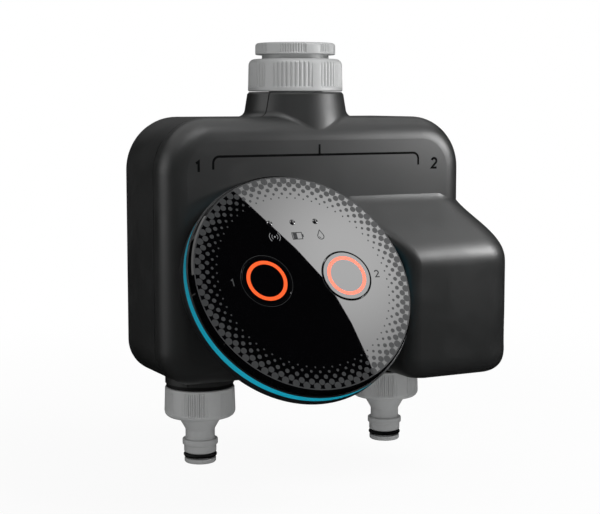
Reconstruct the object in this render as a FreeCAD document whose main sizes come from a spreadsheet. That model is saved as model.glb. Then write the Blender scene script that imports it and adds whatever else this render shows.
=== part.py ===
"""Two-outlet tap timer: a casing with two valves, a tilted round control face, tap and hose fittings.

All lengths are in millimetres. The origin is the middle of the inlet's mouth, +Z points up along
the tap's thread, +X is to the right seen from the front and the front faces -Y.
"""
import FreeCAD, Part
import math
import os
import re

import Sketcher

Vector = FreeCAD.Vector
UP = Vector(0, 0, 1)
ALONG_X = Vector(1, 0, 0)
TO_FRONT = Vector(0, -1, 0)

SIZES = [
    ("flange_radius", 19.9, "grip flange of the tap adapter"),
    ("flange_height", 5.8, "height of that flange"),
    ("flange_round", 1.6, "rounding of its upper edge"),
    ("grip_depth", 0.9, "depth of the grips on the flange"),
    ("adapter_length", 15.3, "tap adapter from its mouth to its lower end"),
    ("spigot_radius", 16.6, "outside of the adapter's one inch thread"),
    ("tap_thread_radius", 12.06, "bore of the three quarter inch tap thread"),
    ("tap_thread_depth", 9.0, "length of that thread"),
    ("tap_washer_thickness", 2.0, "flat washer behind the tap thread"),
    ("tap_washer_radius", 12.3, "outside of that washer"),
    ("adapter_bore", 9.5, "water way through the adapter and its washers"),
    ("nut_gap", 2.1, "bare spigot between the flange and the union nut"),
    ("nut_radius", 23.6, "union nut over its grips"),
    ("nut_height", 15.9, "union nut"),
    ("nut_round", 3.0, "rounding of the union nut's upper edge"),
    ("nut_grip_depth", 1.3, "depth of the grips on the union nut"),
    ("nut_lip_height", 2.4, "turned-in lip at the foot of the union nut"),
    ("nut_foot_gap", 0.3, "running gap between the union nut and the neck"),
    ("thread_clearance", 0.12, "radial gap between plain mating threads"),
    ("running_gap", 0.3, "radial gap of a loose turning fit"),
    ("seat_gap", 0.1, "gap at a seal between pieces that come apart"),
    ("inlet_tube_radius", 13.3, "outside of the inlet tube"),
    ("inlet_bore", 8.5, "bore of the inlet tube"),
    ("ring_groove_depth", 0.9, "groove for the union nut's ring"),
    ("ring_radius", 15.6, "ring that holds the union nut"),
    ("ring_height", 1.4, "height of that ring"),
    ("union_washer_thickness", 2.0, "flat washer between adapter and inlet tube"),
    ("sieve_wall", 0.6, "wall of the filter sieve"),
    ("sieve_depth", 13.0, "depth of the sieve cup"),
    ("neck_radius", 24.0, "top of the casing's neck"),
    ("neck_spread", 1.9, "how much wider the neck is at its foot"),
    ("neck_fillet", 3.8, "sweep of the neck into the casing's top"),
    ("neck_root", 8.0, "neck below the casing's top, inside its rounding"),
    ("neck_edge", 1.0, "chamfer round the neck's top"),
    ("neck_height", 12.2, "neck above the casing's top"),
    ("casing_left", 81.0, "left side from the inlet's axis"),
    ("casing_right", 83.0, "upper right side from the inlet's axis"),
    ("casing_front", 28.0, "front face from the inlet's axis"),
    ("casing_rear", 30.5, "rear face from the inlet's axis"),
    ("casing_height", 127.0, "casing from its top to its underside"),
    ("top_corner", 26.0, "radius of the upper corners"),
    ("low_corner", 17.0, "radius of the lower left corner"),
    ("front_round", 11.0, "rounding of the front edge"),
    ("rear_round", 8.0, "rounding of the rear edge"),
    ("wall", 2.6, "wall of the casing"),
    ("seam_front", 12.5, "joint between the shells, in front of the axis"),
    ("seam_gap", 0.5, "open joint line between the shells"),
    ("bulge_right", 97.5, "right side of the battery bulge"),
    ("bulge_left", 34.0, "left side of the battery bulge"),
    ("bulge_front", 55.0, "front of the battery bulge"),
    ("bulge_rear", 16.0, "rear of the battery bulge"),
    ("bulge_start", 38.0, "top of the bulge's slope below the casing's top"),
    ("bulge_slope", 36.0, "height of that slope"),
    ("bulge_bias", 1.3, "how much quicker that slope starts than it ends"),
    ("bulge_merge", 0.06, "top of the slope inside the casing's front and side"),
    ("bulge_lead", 38.0, "how much further left the slope starts than it ends"),
    ("bulge_soften", 14.0, "how much rounder its left corner starts"),
    ("bulge_drop", 2.0, "bulge below the casing's underside"),
    ("bulge_round", 10.0, "rounding of the bulge's lower edge"),
    ("bulge_corner", 16.0, "upright corner of the bulge on the right"),
    ("bulge_inner_corner", 7.0, "upright corner of the bulge beside the control face"),
    ("outlet_spacing", 105.6, "between the two outlets' axes"),
    ("outlet_boss_radius", 17.0, "round boss above each outlet"),
    ("outlet_boss_drop", 2.5, "boss below the casing's underside"),
    ("outlet_thread_radius", 13.2, "outside of the outlet's three quarter inch thread"),
    ("outlet_thread_length", 12.6, "outlet thread below its boss"),
    ("outlet_bore", 8.0, "bore of the outlet tubes"),
    ("collar_radius", 16.5, "rubber collar under the boss"),
    ("collar_height", 1.8, "height of that collar"),
    ("connector_radius", 17.6, "hose connector's nut over its grips"),
    ("connector_nut_height", 15.0, "height of that nut"),
    ("connector_floor", 2.4, "floor inside that nut"),
    ("connector_rim_round", 3.0, "rounding of the nut's lower rim"),
    ("hub_radius", 10.5, "wide end of the cone below the nut"),
    ("hub_step", 0.9, "short hub above that cone"),
    ("cone_height", 5.6, "height of that cone"),
    ("connector_grip_depth", 1.2, "depth of the grips on the hose connector"),
    ("stem_radius", 7.25, "neck of the hose nipple"),
    ("stem_height", 4.8, "height of that neck"),
    ("ridge_radius", 8.75, "locking ridge of the hose nipple"),
    ("ridge_height", 3.0, "height of that ridge"),
    ("barrel_radius", 8.0, "barrel of the hose nipple"),
    ("barrel_height", 3.6, "barrel between the ridge and the ring groove"),
    ("groove_height", 3.0, "groove for the sealing ring"),
    ("ring_section", 1.0, "radius of the sealing ring's section"),
    ("tip_radius", 7.8, "tip of the hose nipple"),
    ("tip_height", 2.4, "height of that tip"),
    ("nipple_bore", 5.2, "bore of the hose nipple"),
    ("connector_washer_thickness", 1.8, "flat washer inside the connector"),
    ("cross_drop", 41.0, "cross tube's axis below the casing's top"),
    ("cross_radius", 10.5, "outside of the cross tube"),
    ("cross_bore", 7.5, "bore of the cross tube"),
    ("valve_drop", 89.0, "valve axes below the casing's top"),
    ("valve_radius", 16.0, "valve bowl and its bonnet"),
    ("valve_front", 13.5, "front of the valve bowl from the inlet's axis"),
    ("bowl_depth", 4.5, "depth of the valve bowl"),
    ("seat_radius", 7.0, "valve seat"),
    ("diaphragm_thickness", 1.4, "rubber diaphragm"),
    ("bonnet_height", 5.0, "valve bonnet"),
    ("bonnet_web", 2.2, "wall of the bonnet behind the plunger"),
    ("guide_radius", 5.6, "outside of the plunger's guide tube"),
    ("guide_wall", 0.7, "wall of that tube"),
    ("guide_length", 12.2, "guide tube in front of the bonnet"),
    ("coil_radius", 10.3, "solenoid coil"),
    ("coil_length", 11.4, "length of the coil"),
    ("plunger_radius", 4.7, "valve plunger"),
    ("plunger_length", 8.0, "length of the plunger"),
    ("spring_wire", 0.5, "wire of the plunger's spring"),
    ("spring_radius", 3.2, "middle of the spring's turns"),
    ("spring_turns", 3.5, "turns of the spring"),
    ("spring_gap", 0.12, "gap at each end of the spring"),
    ("face_x", -25.4, "middle of the control face, to the right of the axis"),
    ("face_top_y", -31.02, "top edge of the control face, behind the axis"),
    ("face_top_z", -63.83, "top edge of the control face, above the origin"),
    ("face_tilt", 31.8, "lean of the control face back from upright, in degrees"),
    ("face_radius", 54.8, "glossy face"),
    ("face_skirt", 4.0, "side of the face cover"),
    ("face_thickness", 2.4, "plate of the face cover"),
    ("face_edge", 0.8, "chamfer round the face"),
    ("accent_rim", 1.0, "coloured ring beyond the face"),
    ("accent_radius", "=face_radius + accent_rim", "coloured ring round the control housing"),
    ("accent_height", 5.5, "height of the coloured ring"),
    ("accent_width", 3.6, "radial width of the coloured ring"),
    ("base_height", 4.5, "dark rim under the coloured ring"),
    ("base_taper", 1.2, "how much that rim draws in"),
    ("base_floor", 2.0, "floor of the control housing"),
    ("base_wall", 2.0, "inner wall of the control housing"),
    ("gasket_gap", 0.6, "joint under the control housing, filled by its gasket"),
    ("spigot_depth", 3.0, "round spigot of the control housing inside the casing"),
    ("spigot_gap", 0.3, "gap round that spigot"),
    ("pocket_gap", 0.35, "gap round the control housing where the casing surrounds it"),
    ("skirt_margin", 2.4, "casing's skirt inside the coloured ring"),
    ("skirt_radius", "=accent_radius - skirt_margin", "casing's skirt under the control housing"),
    ("skirt_draw", 7.4, "how much the skirt draws in on its way into the casing"),
    ("skirt_depth", 14.0, "root of the skirt behind the casing's front"),
    ("skirt_lift", 2.0, "root of the skirt above the middle of the face"),
    ("lip_width", 7.9, "lip of the casing under the control housing"),
    ("opening_radius", "=skirt_radius - lip_width", "opening of the casing behind the control housing"),
    ("button_radius", 12.2, "push button"),
    ("button_reach", 20.65, "each button from the middle of the controls"),
    ("button_up", 0.9, "buttons above the middle of the face"),
    ("controls_right", 1.5, "middle of the controls, right of the middle of the face"),
    ("button_gap", 0.4, "gap round a button"),
    ("button_edge", 0.15, "chamfer of a button and of its hole"),
    ("button_proud", 0.3, "button above the face"),
    ("button_flange", 1.0, "flange that holds a button behind the face"),
    ("button_travel", 0.8, "how far a button goes in"),
    ("button_rim", 1.2, "flange past a button's side"),
    ("button_stem", 2.0, "radius of the stem that meets the switch"),
    ("light_radius", 9.1, "middle of the light ring in a button"),
    ("light_width", 1.8, "width of that ring"),
    ("light_depth", 1.4, "depth of that ring"),
    ("lamp_radius", 1.3, "status lamp"),
    ("lamp_pitch", 11.95, "between the status lamps"),
    ("lamp_up", 29.9, "status lamps above the middle of the face"),
    ("board_margin", 4.7, "circuit board inside the control housing's wall"),
    ("board_radius", "=accent_radius - accent_width - base_wall - board_margin", "circuit board"),
    ("board_thickness", 1.6, "thickness of the circuit board"),
    ("board_depth", 8.6, "front of the board behind the face"),
    ("board_screw_inset", 5.5, "board screws inside the board's edge"),
    ("board_screw_reach", "=board_radius - board_screw_inset", "board screws from the middle of the face"),
    ("board_post_radius", 3.0, "posts under the board"),
    ("lip_screw_inset", 2.0, "control housing's screws outside the casing's opening"),
    ("control_screw_reach", "=opening_radius + lip_screw_inset", "those screws from the middle of the face"),
    ("lip_post_radius", 2.3, "posts that take those screws"),
    ("small_screw_radius", 1.1, "small screws of the control unit"),
    ("small_screw_head", 1.8, "radius of their heads"),
    ("small_screw_head_height", 1.3, "height of their heads"),
    ("small_screw_grip", 4.0, "length of a small screw in its post"),
    ("switch_width", 6.0, "push switch on the board"),
    ("switch_height", 3.3, "height of that switch"),
    ("cell_radius", 7.25, "battery cell"),
    ("cell_length", 50.0, "length of a battery cell"),
    ("cell_pitch", 15.0, "between the cells"),
    ("cell_x", 65.0, "middle cell's axis"),
    ("cell_y", -40.6, "cells' axes, in front of the inlet"),
    ("cell_slack", 0.15, "radial gap of a cell in its tray"),
    ("tray_wall", 1.0, "wall of the battery tray"),
    ("tray_roof", 1.6, "roof of the battery tray"),
    ("tray_rim", 2.5, "tray past the doorway on each side"),
    ("contact_space", 3.0, "room for the contact springs above the cells"),
    ("door_width", 44.8, "battery door along X"),
    ("door_front", 49.3, "door hinge's axis in front of the inlet"),
    ("door_rear", 24.5, "rear edge of the battery door"),
    ("door_gap", 0.35, "gap round the battery door"),
    ("hinge_rise", 1.1, "hinge pin above the middle of the door's wall"),
    ("hinge_barrel", 1.3, "radius of the hinge's barrel and knuckles"),
    ("hinge_pin_radius", 0.75, "hinge pin of the battery door"),
    ("hinge_inset", 4.5, "hinge inside each end of the door"),
    ("knuckle_length", 4.0, "knuckle of the casing at each end of the hinge"),
    ("door_gasket_height", 0.9, "room for the sealing cord inside the battery door"),
    ("cord_width", 1.0, "width of that cord"),
    ("latch_radius", 4.2, "head of the battery door's screw"),
    ("latch_head", 1.2, "height of that head"),
    ("latch_shank", 1.8, "radius of its shank"),
    ("screw_radius", 1.5, "housing screws"),
    ("screw_head", 2.8, "radius of their heads"),
    ("screw_length", 18.0, "length of the housing screws"),
    ("screw_seat", 8.0, "seat of the screw heads behind the joint"),
    ("screw_head_height", 2.0, "height of their heads"),
    ("slot_width", 0.8, "cross slot in their heads"),
    ("slot_length", 3.4, "length of that slot"),
    ("slot_depth", 1.0, "depth of that slot"),
    ("screw_hole_gap", 0.2, "gap round a housing screw in the rear shell"),
    ("boss_radius", 4.6, "screw bosses"),
    ("boss_root", 1.0, "root of a boss inside the casing's faces"),
    ("corner_boss_inset", 14.0, "upper bosses inside the casing's top and sides"),
    ("side_boss_inset", 9.0, "lower bosses inside the casing's sides and underside"),
    ("left_boss_drop", 66.0, "boss on the left side below the casing's top"),
    ("right_boss_drop", 37.0, "boss on the right side below the casing's top"),
    ("middle_boss_reach", 24.0, "bosses above the underside from the middle"),
    ("seal_inset", 0.9, "seal of the joint behind the casing's outside"),
    ("seal_reach", 0.3, "seal past the casing's inside"),
    ("sieve_slot_width", 2.2, "slots in the filter sieve"),
    ("sieve_slot_margin", 2.0, "solid sieve above and below its slots"),
    ("tray_screw_block", 9.0, "block of the battery tray that takes the door's screw"),
    ("tray_screw_height", 7.0, "height of that block"),
    ("cell_cap_radius", 2.7, "raised contact of a cell"),
    ("cell_cap_height", 1.2, "height of that contact"),
    ("contact_plate", 0.5, "plates of the cell contacts"),
    ("contact_wide", 3.6, "wide end of a contact spring"),
    ("boss_height", 16.0, "round bosses above the outlets, into the casing"),
    ("radio_width", 16.0, "radio module on the circuit board"),
    ("radio_length", 12.0, "length of its board up the face"),
    ("radio_board", 0.8, "thickness of its board"),
    ("radio_height", 2.2, "height of its shield"),
    ("radio_rim", 1.0, "its board past its shield"),
    ("radio_low", 26.0, "its lower edge below the middle of the face"),
    ("lamp_bar_width", 5.0, "bar that joins the status lamps behind the face"),
    ("lamp_bar_height", 1.2, "height of that bar"),
    ("led_length", 2.0, "small lamps on the board"),
    ("led_width", 1.2, "width of those lamps"),
    ("led_height", 0.8, "height of those lamps"),
]
NAMES = {alias for alias, size, note in SIZES}

# Heights of the stacked pieces, as sums of the sizes above.
NUT_TOP = "(-flange_height - nut_gap)"
NUT_FOOT = f"({NUT_TOP} - nut_height)"
LIP_TOP = f"({NUT_FOOT} + nut_lip_height)"
RING_FOOT = f"({LIP_TOP} + seat_gap)"
ADAPTER_FOOT = "(-adapter_length)"
TUBE_TOP = f"({ADAPTER_FOOT} - 2 * seat_gap - union_washer_thickness)"
NECK_TOP = f"({NUT_FOOT} - nut_foot_gap)"
CASING_TOP = f"({NECK_TOP} - neck_height)"
UNDERSIDE = f"({CASING_TOP} - casing_height)"
BULGE_FOOT = f"({UNDERSIDE} - bulge_drop)"
BOSS_FOOT = f"({UNDERSIDE} - outlet_boss_drop)"
THREAD_END = f"({BOSS_FOOT} - outlet_thread_length)"
CONNECTOR_TOP = f"({BOSS_FOOT} - collar_height - 2 * seat_gap)"
CONNECTOR_FOOT = f"({CONNECTOR_TOP} - connector_nut_height)"
CROSS_Z = f"({CASING_TOP} - cross_drop)"
VALVE_Z = f"({CASING_TOP} - valve_drop)"
OUTLET_X = "(outlet_spacing / 2)"
BORE_END = "(bonnet_height + guide_length - guide_wall)"
FACE_Y = "(face_top_y - face_radius * sin(face_tilt * 1 deg))"
FACE_Z = "(face_top_z - face_radius * cos(face_tilt * 1 deg))"
BASE_TOP = "(-face_skirt - accent_height)"
BASE_FOOT = f"({BASE_TOP} - base_height)"
SKIRT_TOP = f"({BASE_FOOT} - gasket_gap)"
SPIGOT_FOOT = f"({SKIRT_TOP} - spigot_depth)"
BOARD_TOP = "(-board_depth)"
DOOR_FACE = BULGE_FOOT
HINGE_Z = f"({DOOR_FACE} + wall / 2 + hinge_rise)"
CELL_FOOT = f"({DOOR_FACE} + wall + door_gasket_height + contact_space)"
CELL_TOP = f"({CELL_FOOT} + cell_length)"
LATCH_Y = "(-door_rear - latch_radius - 1)"
FLOOR = f"({DOOR_FACE} + wall)"
TRAY_DEPTH = "(2 * (cell_radius + cell_slack + tray_wall))"
TRAY_LENGTH = f"(2 * cell_pitch + {TRAY_DEPTH})"
TRAY_LEFT = f"(cell_x - {TRAY_LENGTH} / 2)"
TRAY_FRONT = "(cell_y - cell_radius - cell_slack - tray_wall)"
TRAY_FOOT = f"({FLOOR} + door_gasket_height)"
TRAY_TOP = f"({CELL_TOP} + contact_space + tray_roof)"

doc = FreeCAD.newDocument("TapTimer")
dims = doc.addObject("Spreadsheet::Sheet", "dims")
for row, (alias, size, note) in enumerate(SIZES, 1):
    dims.set(f"A{row}", alias)
    dims.set(f"B{row}", str(size))
    dims.setAlias(f"B{row}", alias)
    dims.set(f"C{row}", note)
doc.recompute()

pieces = []


def value(formula):
    """Number that a formula of sheet names stands for."""
    return float(dims.evalExpression(formula))


def bound(formula):
    """The same formula as another object's expression writes it."""
    return re.sub(r"[a-z_]+", lambda word: f"dims.{word[0]}" if word[0] in NAMES else word[0], formula)


def bind(item, **formulas):
    """Ties properties of an object to formulas of the sheet; __ stands for a dot."""
    for name, formula in formulas.items():
        item.setExpression(name.replace("__", "."), bound(formula))


def place(item, x="0", y="0", z="0", axis=UP, angle="0"):
    """Puts an object at a place and turn that follow the sheet."""
    item.Placement = FreeCAD.Placement(Vector(0, 0, 0), FreeCAD.Rotation(axis, value(angle)))
    bind(item, Placement__Base__x=x, Placement__Base__y=y, Placement__Base__z=z)
    if angle not in ("0", "90", "-90"):
        bind(item, Placement__Rotation__Angle=angle)
    return item


def place_on_face(item):
    """Gives a piece made about the control face's own axes its tilted place."""
    return place(item, "face_x", FACE_Y, FACE_Z, ALONG_X, "90 - face_tilt")


def piece(item, label):
    """Names a finished sub-part and lists it for export."""
    item.Label = label
    pieces.append(item)
    return item


def rod(radius, height, x="0", y="0", z="0", axis=UP, angle="0"):
    """Round bar; z is its foot."""
    item = doc.addObject("Part::Cylinder", "rod")
    bind(item, Radius=radius, Height=height)
    return place(item, x, y, z, axis, angle)


def front_rod(radius, height, x, y, z):
    """Round bar that runs forward, towards -Y, from its rear end."""
    return rod(radius, height, x, y, z, ALONG_X, "90")


def box(length, width, height, x, y, z):
    """Block; x, y and z are its lowest corner."""
    item = doc.addObject("Part::Box", "block")
    bind(item, Length=length, Width=width, Height=height)
    return place(item, x, y, z)


def cut(base, *tools):
    """Base without the tools."""
    item = doc.addObject("Part::Cut", "cut")
    item.Base = base
    item.Tool = tools[0] if len(tools) == 1 else fuse(*tools)
    return item


def fuse(*parts):
    """One solid of several."""
    item = doc.addObject("Part::MultiFuse", "fuse")
    item.Shapes = list(parts)
    return item


def group(*parts):
    """Several separate solids in one node."""
    item = doc.addObject("Part::Compound", "group")
    item.Links = list(parts)
    return item


def shaped(shape, name="form"):
    """Document object for a form that no single feature makes."""
    item = doc.addObject("Part::Feature", name)
    item.Shape = shape
    return item


def ring(outer, inner, height, x="0", y="0", z="0"):
    """Flat ring; z is its foot."""
    return cut(rod(outer, height, x, y, z), rod(inner, f"{height} + 2", x, y, f"{z} - 1"))


def corner_point(sketch, shape, end, x, z):
    """Holds one end of a line, or a point, at two formulas."""
    for kind, formula, axis in (("DistanceX", x, -2), ("DistanceY", z, -1)):
        if formula == "0":
            sketch.addConstraint(Sketcher.Constraint("PointOnObject", shape, end, axis))
            continue
        row = sketch.addConstraint(Sketcher.Constraint(kind, -1, 1, shape, end, value(formula)))
        sketch.setExpression(f"Constraints[{row}]", bound(formula))


def outline(sketch, corners):
    """Closed outline; a corner is (x, z) or (x, z, rounding), each a formula of the sheet."""
    spots = [Vector(value(c[0]), value(c[1]), 0) for c in corners]
    radii = [value(c[2]) if len(c) > 2 else 0.0 for c in corners]
    count = len(corners)
    starts, ends, centres = [], [], []
    for i in range(count):
        to_last = (spots[i - 1] - spots[i]).normalize()
        to_next = (spots[(i + 1) % count] - spots[i]).normalize()
        half = to_last.getAngle(to_next) / 2
        reach = radii[i] / math.tan(half)
        ends.append(spots[i] + to_last * reach)
        starts.append(spots[i] + to_next * reach)
        centres.append(spots[i] + (to_last + to_next).normalize() * (radii[i] / math.sin(half)))
    lines = [sketch.addGeometry(Part.LineSegment(starts[i], ends[(i + 1) % count])) for i in range(count)]
    for i in range(count):
        before, after = lines[i - 1], lines[i]
        if not radii[i]:
            sketch.addConstraint(Sketcher.Constraint("Coincident", before, 2, after, 1))
            corner_point(sketch, after, 1, corners[i][0], corners[i][1])
            continue
        into = math.atan2(ends[i].y - centres[i].y, ends[i].x - centres[i].x)
        out = math.atan2(starts[i].y - centres[i].y, starts[i].x - centres[i].x)
        near, far = (1, 2) if (out - into) % (2 * math.pi) < math.pi else (2, 1)
        first, last = (into, out) if near == 1 else (out, into)
        arc = sketch.addGeometry(Part.ArcOfCircle(Part.Circle(centres[i], UP, radii[i]), first, last))
        mark = sketch.addGeometry(Part.Point(spots[i]), True)
        corner_point(sketch, mark, 1, corners[i][0], corners[i][1])
        sketch.addConstraint(Sketcher.Constraint("PointOnObject", mark, 1, before))
        sketch.addConstraint(Sketcher.Constraint("PointOnObject", mark, 1, after))
        sketch.addConstraint(Sketcher.Constraint("Tangent", before, 2, arc, near))
        sketch.addConstraint(Sketcher.Constraint("Tangent", after, 1, arc, far))
        row = sketch.addConstraint(Sketcher.Constraint("Radius", arc, radii[i]))
        sketch.setExpression(f"Constraints[{row}]", bound(corners[i][2]))


def turned(name, corners):
    """Body revolved about Z from an outline of (radius, height) corners."""
    body = doc.addObject("PartDesign::Body", name + "_body")
    sketch = body.newObject("Sketcher::SketchObject", name + "_outline")
    plane = [item for item in body.Origin.OriginFeatures if item.Role == "XZ_Plane"][0]
    sketch.AttachmentSupport = [(plane, "")]
    sketch.MapMode = "FlatFace"
    outline(sketch, corners)
    spin = body.newObject("PartDesign::Revolution", name + "_turn")
    spin.Profile = sketch
    spin.ReferenceAxis = (sketch, ["V_Axis"])
    spin.Angle = 360
    return body


def grip_cutter(radius, depth, bottom, top, flutes, panel_angle=38.0, panels=6, first=0.0):
    """Six upright panels, each sunk into a nut's side and cut with a row of fine flutes.

    radius, depth, bottom and top are formulas, panel_angle and first are degrees.
    """
    radius, depth, bottom, top = (value(formula) for formula in (radius, depth, bottom, top))
    step = panel_angle / flutes
    crest = radius - depth * 0.45
    valley = radius - depth
    points = []
    for i in range(flutes):
        start = math.radians(-panel_angle / 2 + i * step)
        middle = math.radians(-panel_angle / 2 + (i + 0.5) * step)
        points.append(Vector(crest * math.cos(start), crest * math.sin(start), bottom))
        points.append(Vector(valley * math.cos(middle), valley * math.sin(middle), bottom))
    end = math.radians(panel_angle / 2)
    outside = radius + 3.0
    points.append(Vector(crest * math.cos(end), crest * math.sin(end), bottom))
    points.append(Vector(outside * math.cos(end), outside * math.sin(end), bottom))
    points.append(Vector(outside * math.cos(end), -outside * math.sin(end), bottom))
    points.append(points[0])
    panel = Part.Face(Part.makePolygon(points)).extrude(UP * (top - bottom))
    turns = []
    for i in range(panels):
        turn = panel.copy()
        turn.rotate(Vector(0, 0, 0), UP, first + i * 360.0 / panels)
        turns.append(turn)
    return Part.makeCompound(turns)


# Tap adapter, union nut and the seals of the inlet
adapter_body = turned("adapter", [
    ("tap_thread_radius", "0"),
    ("flange_radius", "0", "flange_round"),
    ("flange_radius", "-flange_height", "0.6"),
    ("spigot_radius", "-flange_height"),
    ("spigot_radius", ADAPTER_FOOT, "0.5"),
    ("adapter_bore", ADAPTER_FOOT),
    ("adapter_bore", "-tap_thread_depth - tap_washer_thickness"),
    ("tap_washer_radius + seat_gap", "-tap_thread_depth - tap_washer_thickness"),
    ("tap_washer_radius + seat_gap", "-tap_thread_depth"),
    ("tap_thread_radius", "-tap_thread_depth"),
])
adapter_grips = shaped(grip_cutter("flange_radius", "grip_depth", "-flange_height + flange_round / 2",
                                   "-flange_round / 2", 10))
piece(cut(adapter_body, adapter_grips), "inlet_adapter")

piece(ring("tap_washer_radius", "adapter_bore", "tap_washer_thickness",
           z="-tap_thread_depth - tap_washer_thickness"), "tap_washer")

nut_body = turned("union_nut", [
    ("spigot_radius + thread_clearance", NUT_TOP),
    ("nut_radius - 0.4", NUT_TOP, "nut_round"),
    ("nut_radius", NUT_FOOT, "0.7"),
    ("inlet_tube_radius + running_gap", NUT_FOOT),
    ("inlet_tube_radius + running_gap", LIP_TOP),
    ("spigot_radius + thread_clearance", LIP_TOP),
])
nut_grips = shaped(grip_cutter("nut_radius", "nut_grip_depth", f"{NUT_FOOT} + 1.9", f"{NUT_TOP} + 1", 9, 49.0))
piece(cut(nut_body, nut_grips), "union_nut")

piece(ring("ring_radius", "inlet_tube_radius - ring_groove_depth", "ring_height", z=RING_FOOT),
      "union_nut_ring")
piece(ring("ring_radius", "adapter_bore", "union_washer_thickness",
           z=f"{TUBE_TOP} + seat_gap"), "union_washer")

sieve_cup = turned("sieve", [
    ("adapter_bore + 1.5", TUBE_TOP),
    ("adapter_bore + 1.5", f"{TUBE_TOP} - sieve_wall"),
    ("inlet_bore - seat_gap", f"{TUBE_TOP} - sieve_wall"),
    ("inlet_bore - seat_gap - 0.8", f"{TUBE_TOP} - sieve_depth"),
    ("0", f"{TUBE_TOP} - sieve_depth"),
    ("0", f"{TUBE_TOP} - sieve_depth + sieve_wall"),
    ("inlet_bore - seat_gap - sieve_wall - 0.8", f"{TUBE_TOP} - sieve_depth + sieve_wall"),
    ("inlet_bore - seat_gap - sieve_wall", TUBE_TOP),
])
sieve_slots = []
for i in range(4):
    slot = doc.addObject("Part::Box", "slot")
    bind(slot, Length="2 * inlet_bore + 2", Width="sieve_slot_width",
         Height="sieve_depth - 2 * sieve_slot_margin")
    slot.Placement = FreeCAD.Placement(
        FreeCAD.Rotation(UP, 45.0 * i).multVec(Vector(-value("inlet_bore + 1"), -value("sieve_slot_width") / 2, 0))
        + Vector(0, 0, value(f"{TUBE_TOP} - sieve_depth + sieve_slot_margin")), FreeCAD.Rotation(UP, 45.0 * i))
    sieve_slots.append(slot)
piece(cut(sieve_cup, *sieve_slots), "filter_sieve")


def helical_spring(room):
    """Upright spring of round wire that fills the room's height, its path made of short arcs."""
    wire = value("spring_wire") / 2
    radius = value("spring_radius")
    foot = wire + value("spring_gap")
    climb = room - 2 * foot
    arcs_per_turn = 8
    arcs = int(value("spring_turns") * arcs_per_turn)

    def spot(share):
        angle = 2 * math.pi * share * arcs / arcs_per_turn
        return Vector(radius * math.cos(angle), radius * math.sin(angle), foot + climb * share)

    path = [Part.Arc(spot(i / arcs), spot((i + 0.5) / arcs), spot((i + 1) / arcs)).toShape() for i in range(arcs)]
    section = Part.Wire(Part.makeCircle(wire, spot(0), Vector(0, 1, 0)))
    return Part.Wire(path).makePipeShell([section], True, False)


# Valve block: inlet tube, cross tube, two outlet tubes and their valve bowls
def mirrored_x(side):
    """Formula of an outlet's axis; side is -1 or 1."""
    return f"({side} * {OUTLET_X})"


inlet_tube = turned("inlet_tube", [
    ("0", TUBE_TOP),
    ("inlet_tube_radius", TUBE_TOP, "0.4"),
    ("inlet_tube_radius", f"{RING_FOOT} + ring_height"),
    ("inlet_tube_radius - ring_groove_depth", f"{RING_FOOT} + ring_height"),
    ("inlet_tube_radius - ring_groove_depth", RING_FOOT),
    ("inlet_tube_radius", RING_FOOT),
    ("inlet_tube_radius", f"{CROSS_Z} - cross_radius + 2"),
    ("0", f"{CROSS_Z} - cross_radius + 2"),
])
block = [inlet_tube]
bores = [
    rod("adapter_bore + 1.6", "sieve_wall + 1", z=f"{TUBE_TOP} - sieve_wall"),
    rod("inlet_bore", f"{TUBE_TOP} - {CROSS_Z} + 1", z=CROSS_Z),
    rod("cross_bore", "outlet_spacing", f"-{OUTLET_X}", "0", CROSS_Z, Vector(0, 1, 0), "90"),
]
block.append(rod("cross_radius", "outlet_spacing", f"-{OUTLET_X}", "0", CROSS_Z, Vector(0, 1, 0), "90"))
for side in (-1, 1):
    x = mirrored_x(side)
    block.append(rod("outlet_thread_radius", f"{CROSS_Z} + cross_radius - {THREAD_END}", x, z=THREAD_END))
    block.append(front_rod("valve_radius", "valve_front", x, "0", VALVE_Z))
    bores.append(rod("outlet_bore", f"{CROSS_Z} - {VALVE_Z} - valve_radius + 4", x,
                     z=f"{VALVE_Z} + valve_radius - 4"))
    bores.append(rod("outlet_bore", f"{VALVE_Z} - {THREAD_END} + 1", x, "0", f"{THREAD_END} - 1"))
    bowl = cut(front_rod("valve_radius - 2", "bowl_depth + 1", x, "-valve_front + bowl_depth", VALVE_Z),
               front_rod("seat_radius", "bowl_depth - 0.4", x, "-valve_front + bowl_depth", VALVE_Z))
    bores.append(bowl)
    bores.append(front_rod("seat_radius - 1.6", "valve_front + 1", x, "0", VALVE_Z))
piece(cut(fuse(*block), *bores), "valve_block")

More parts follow.
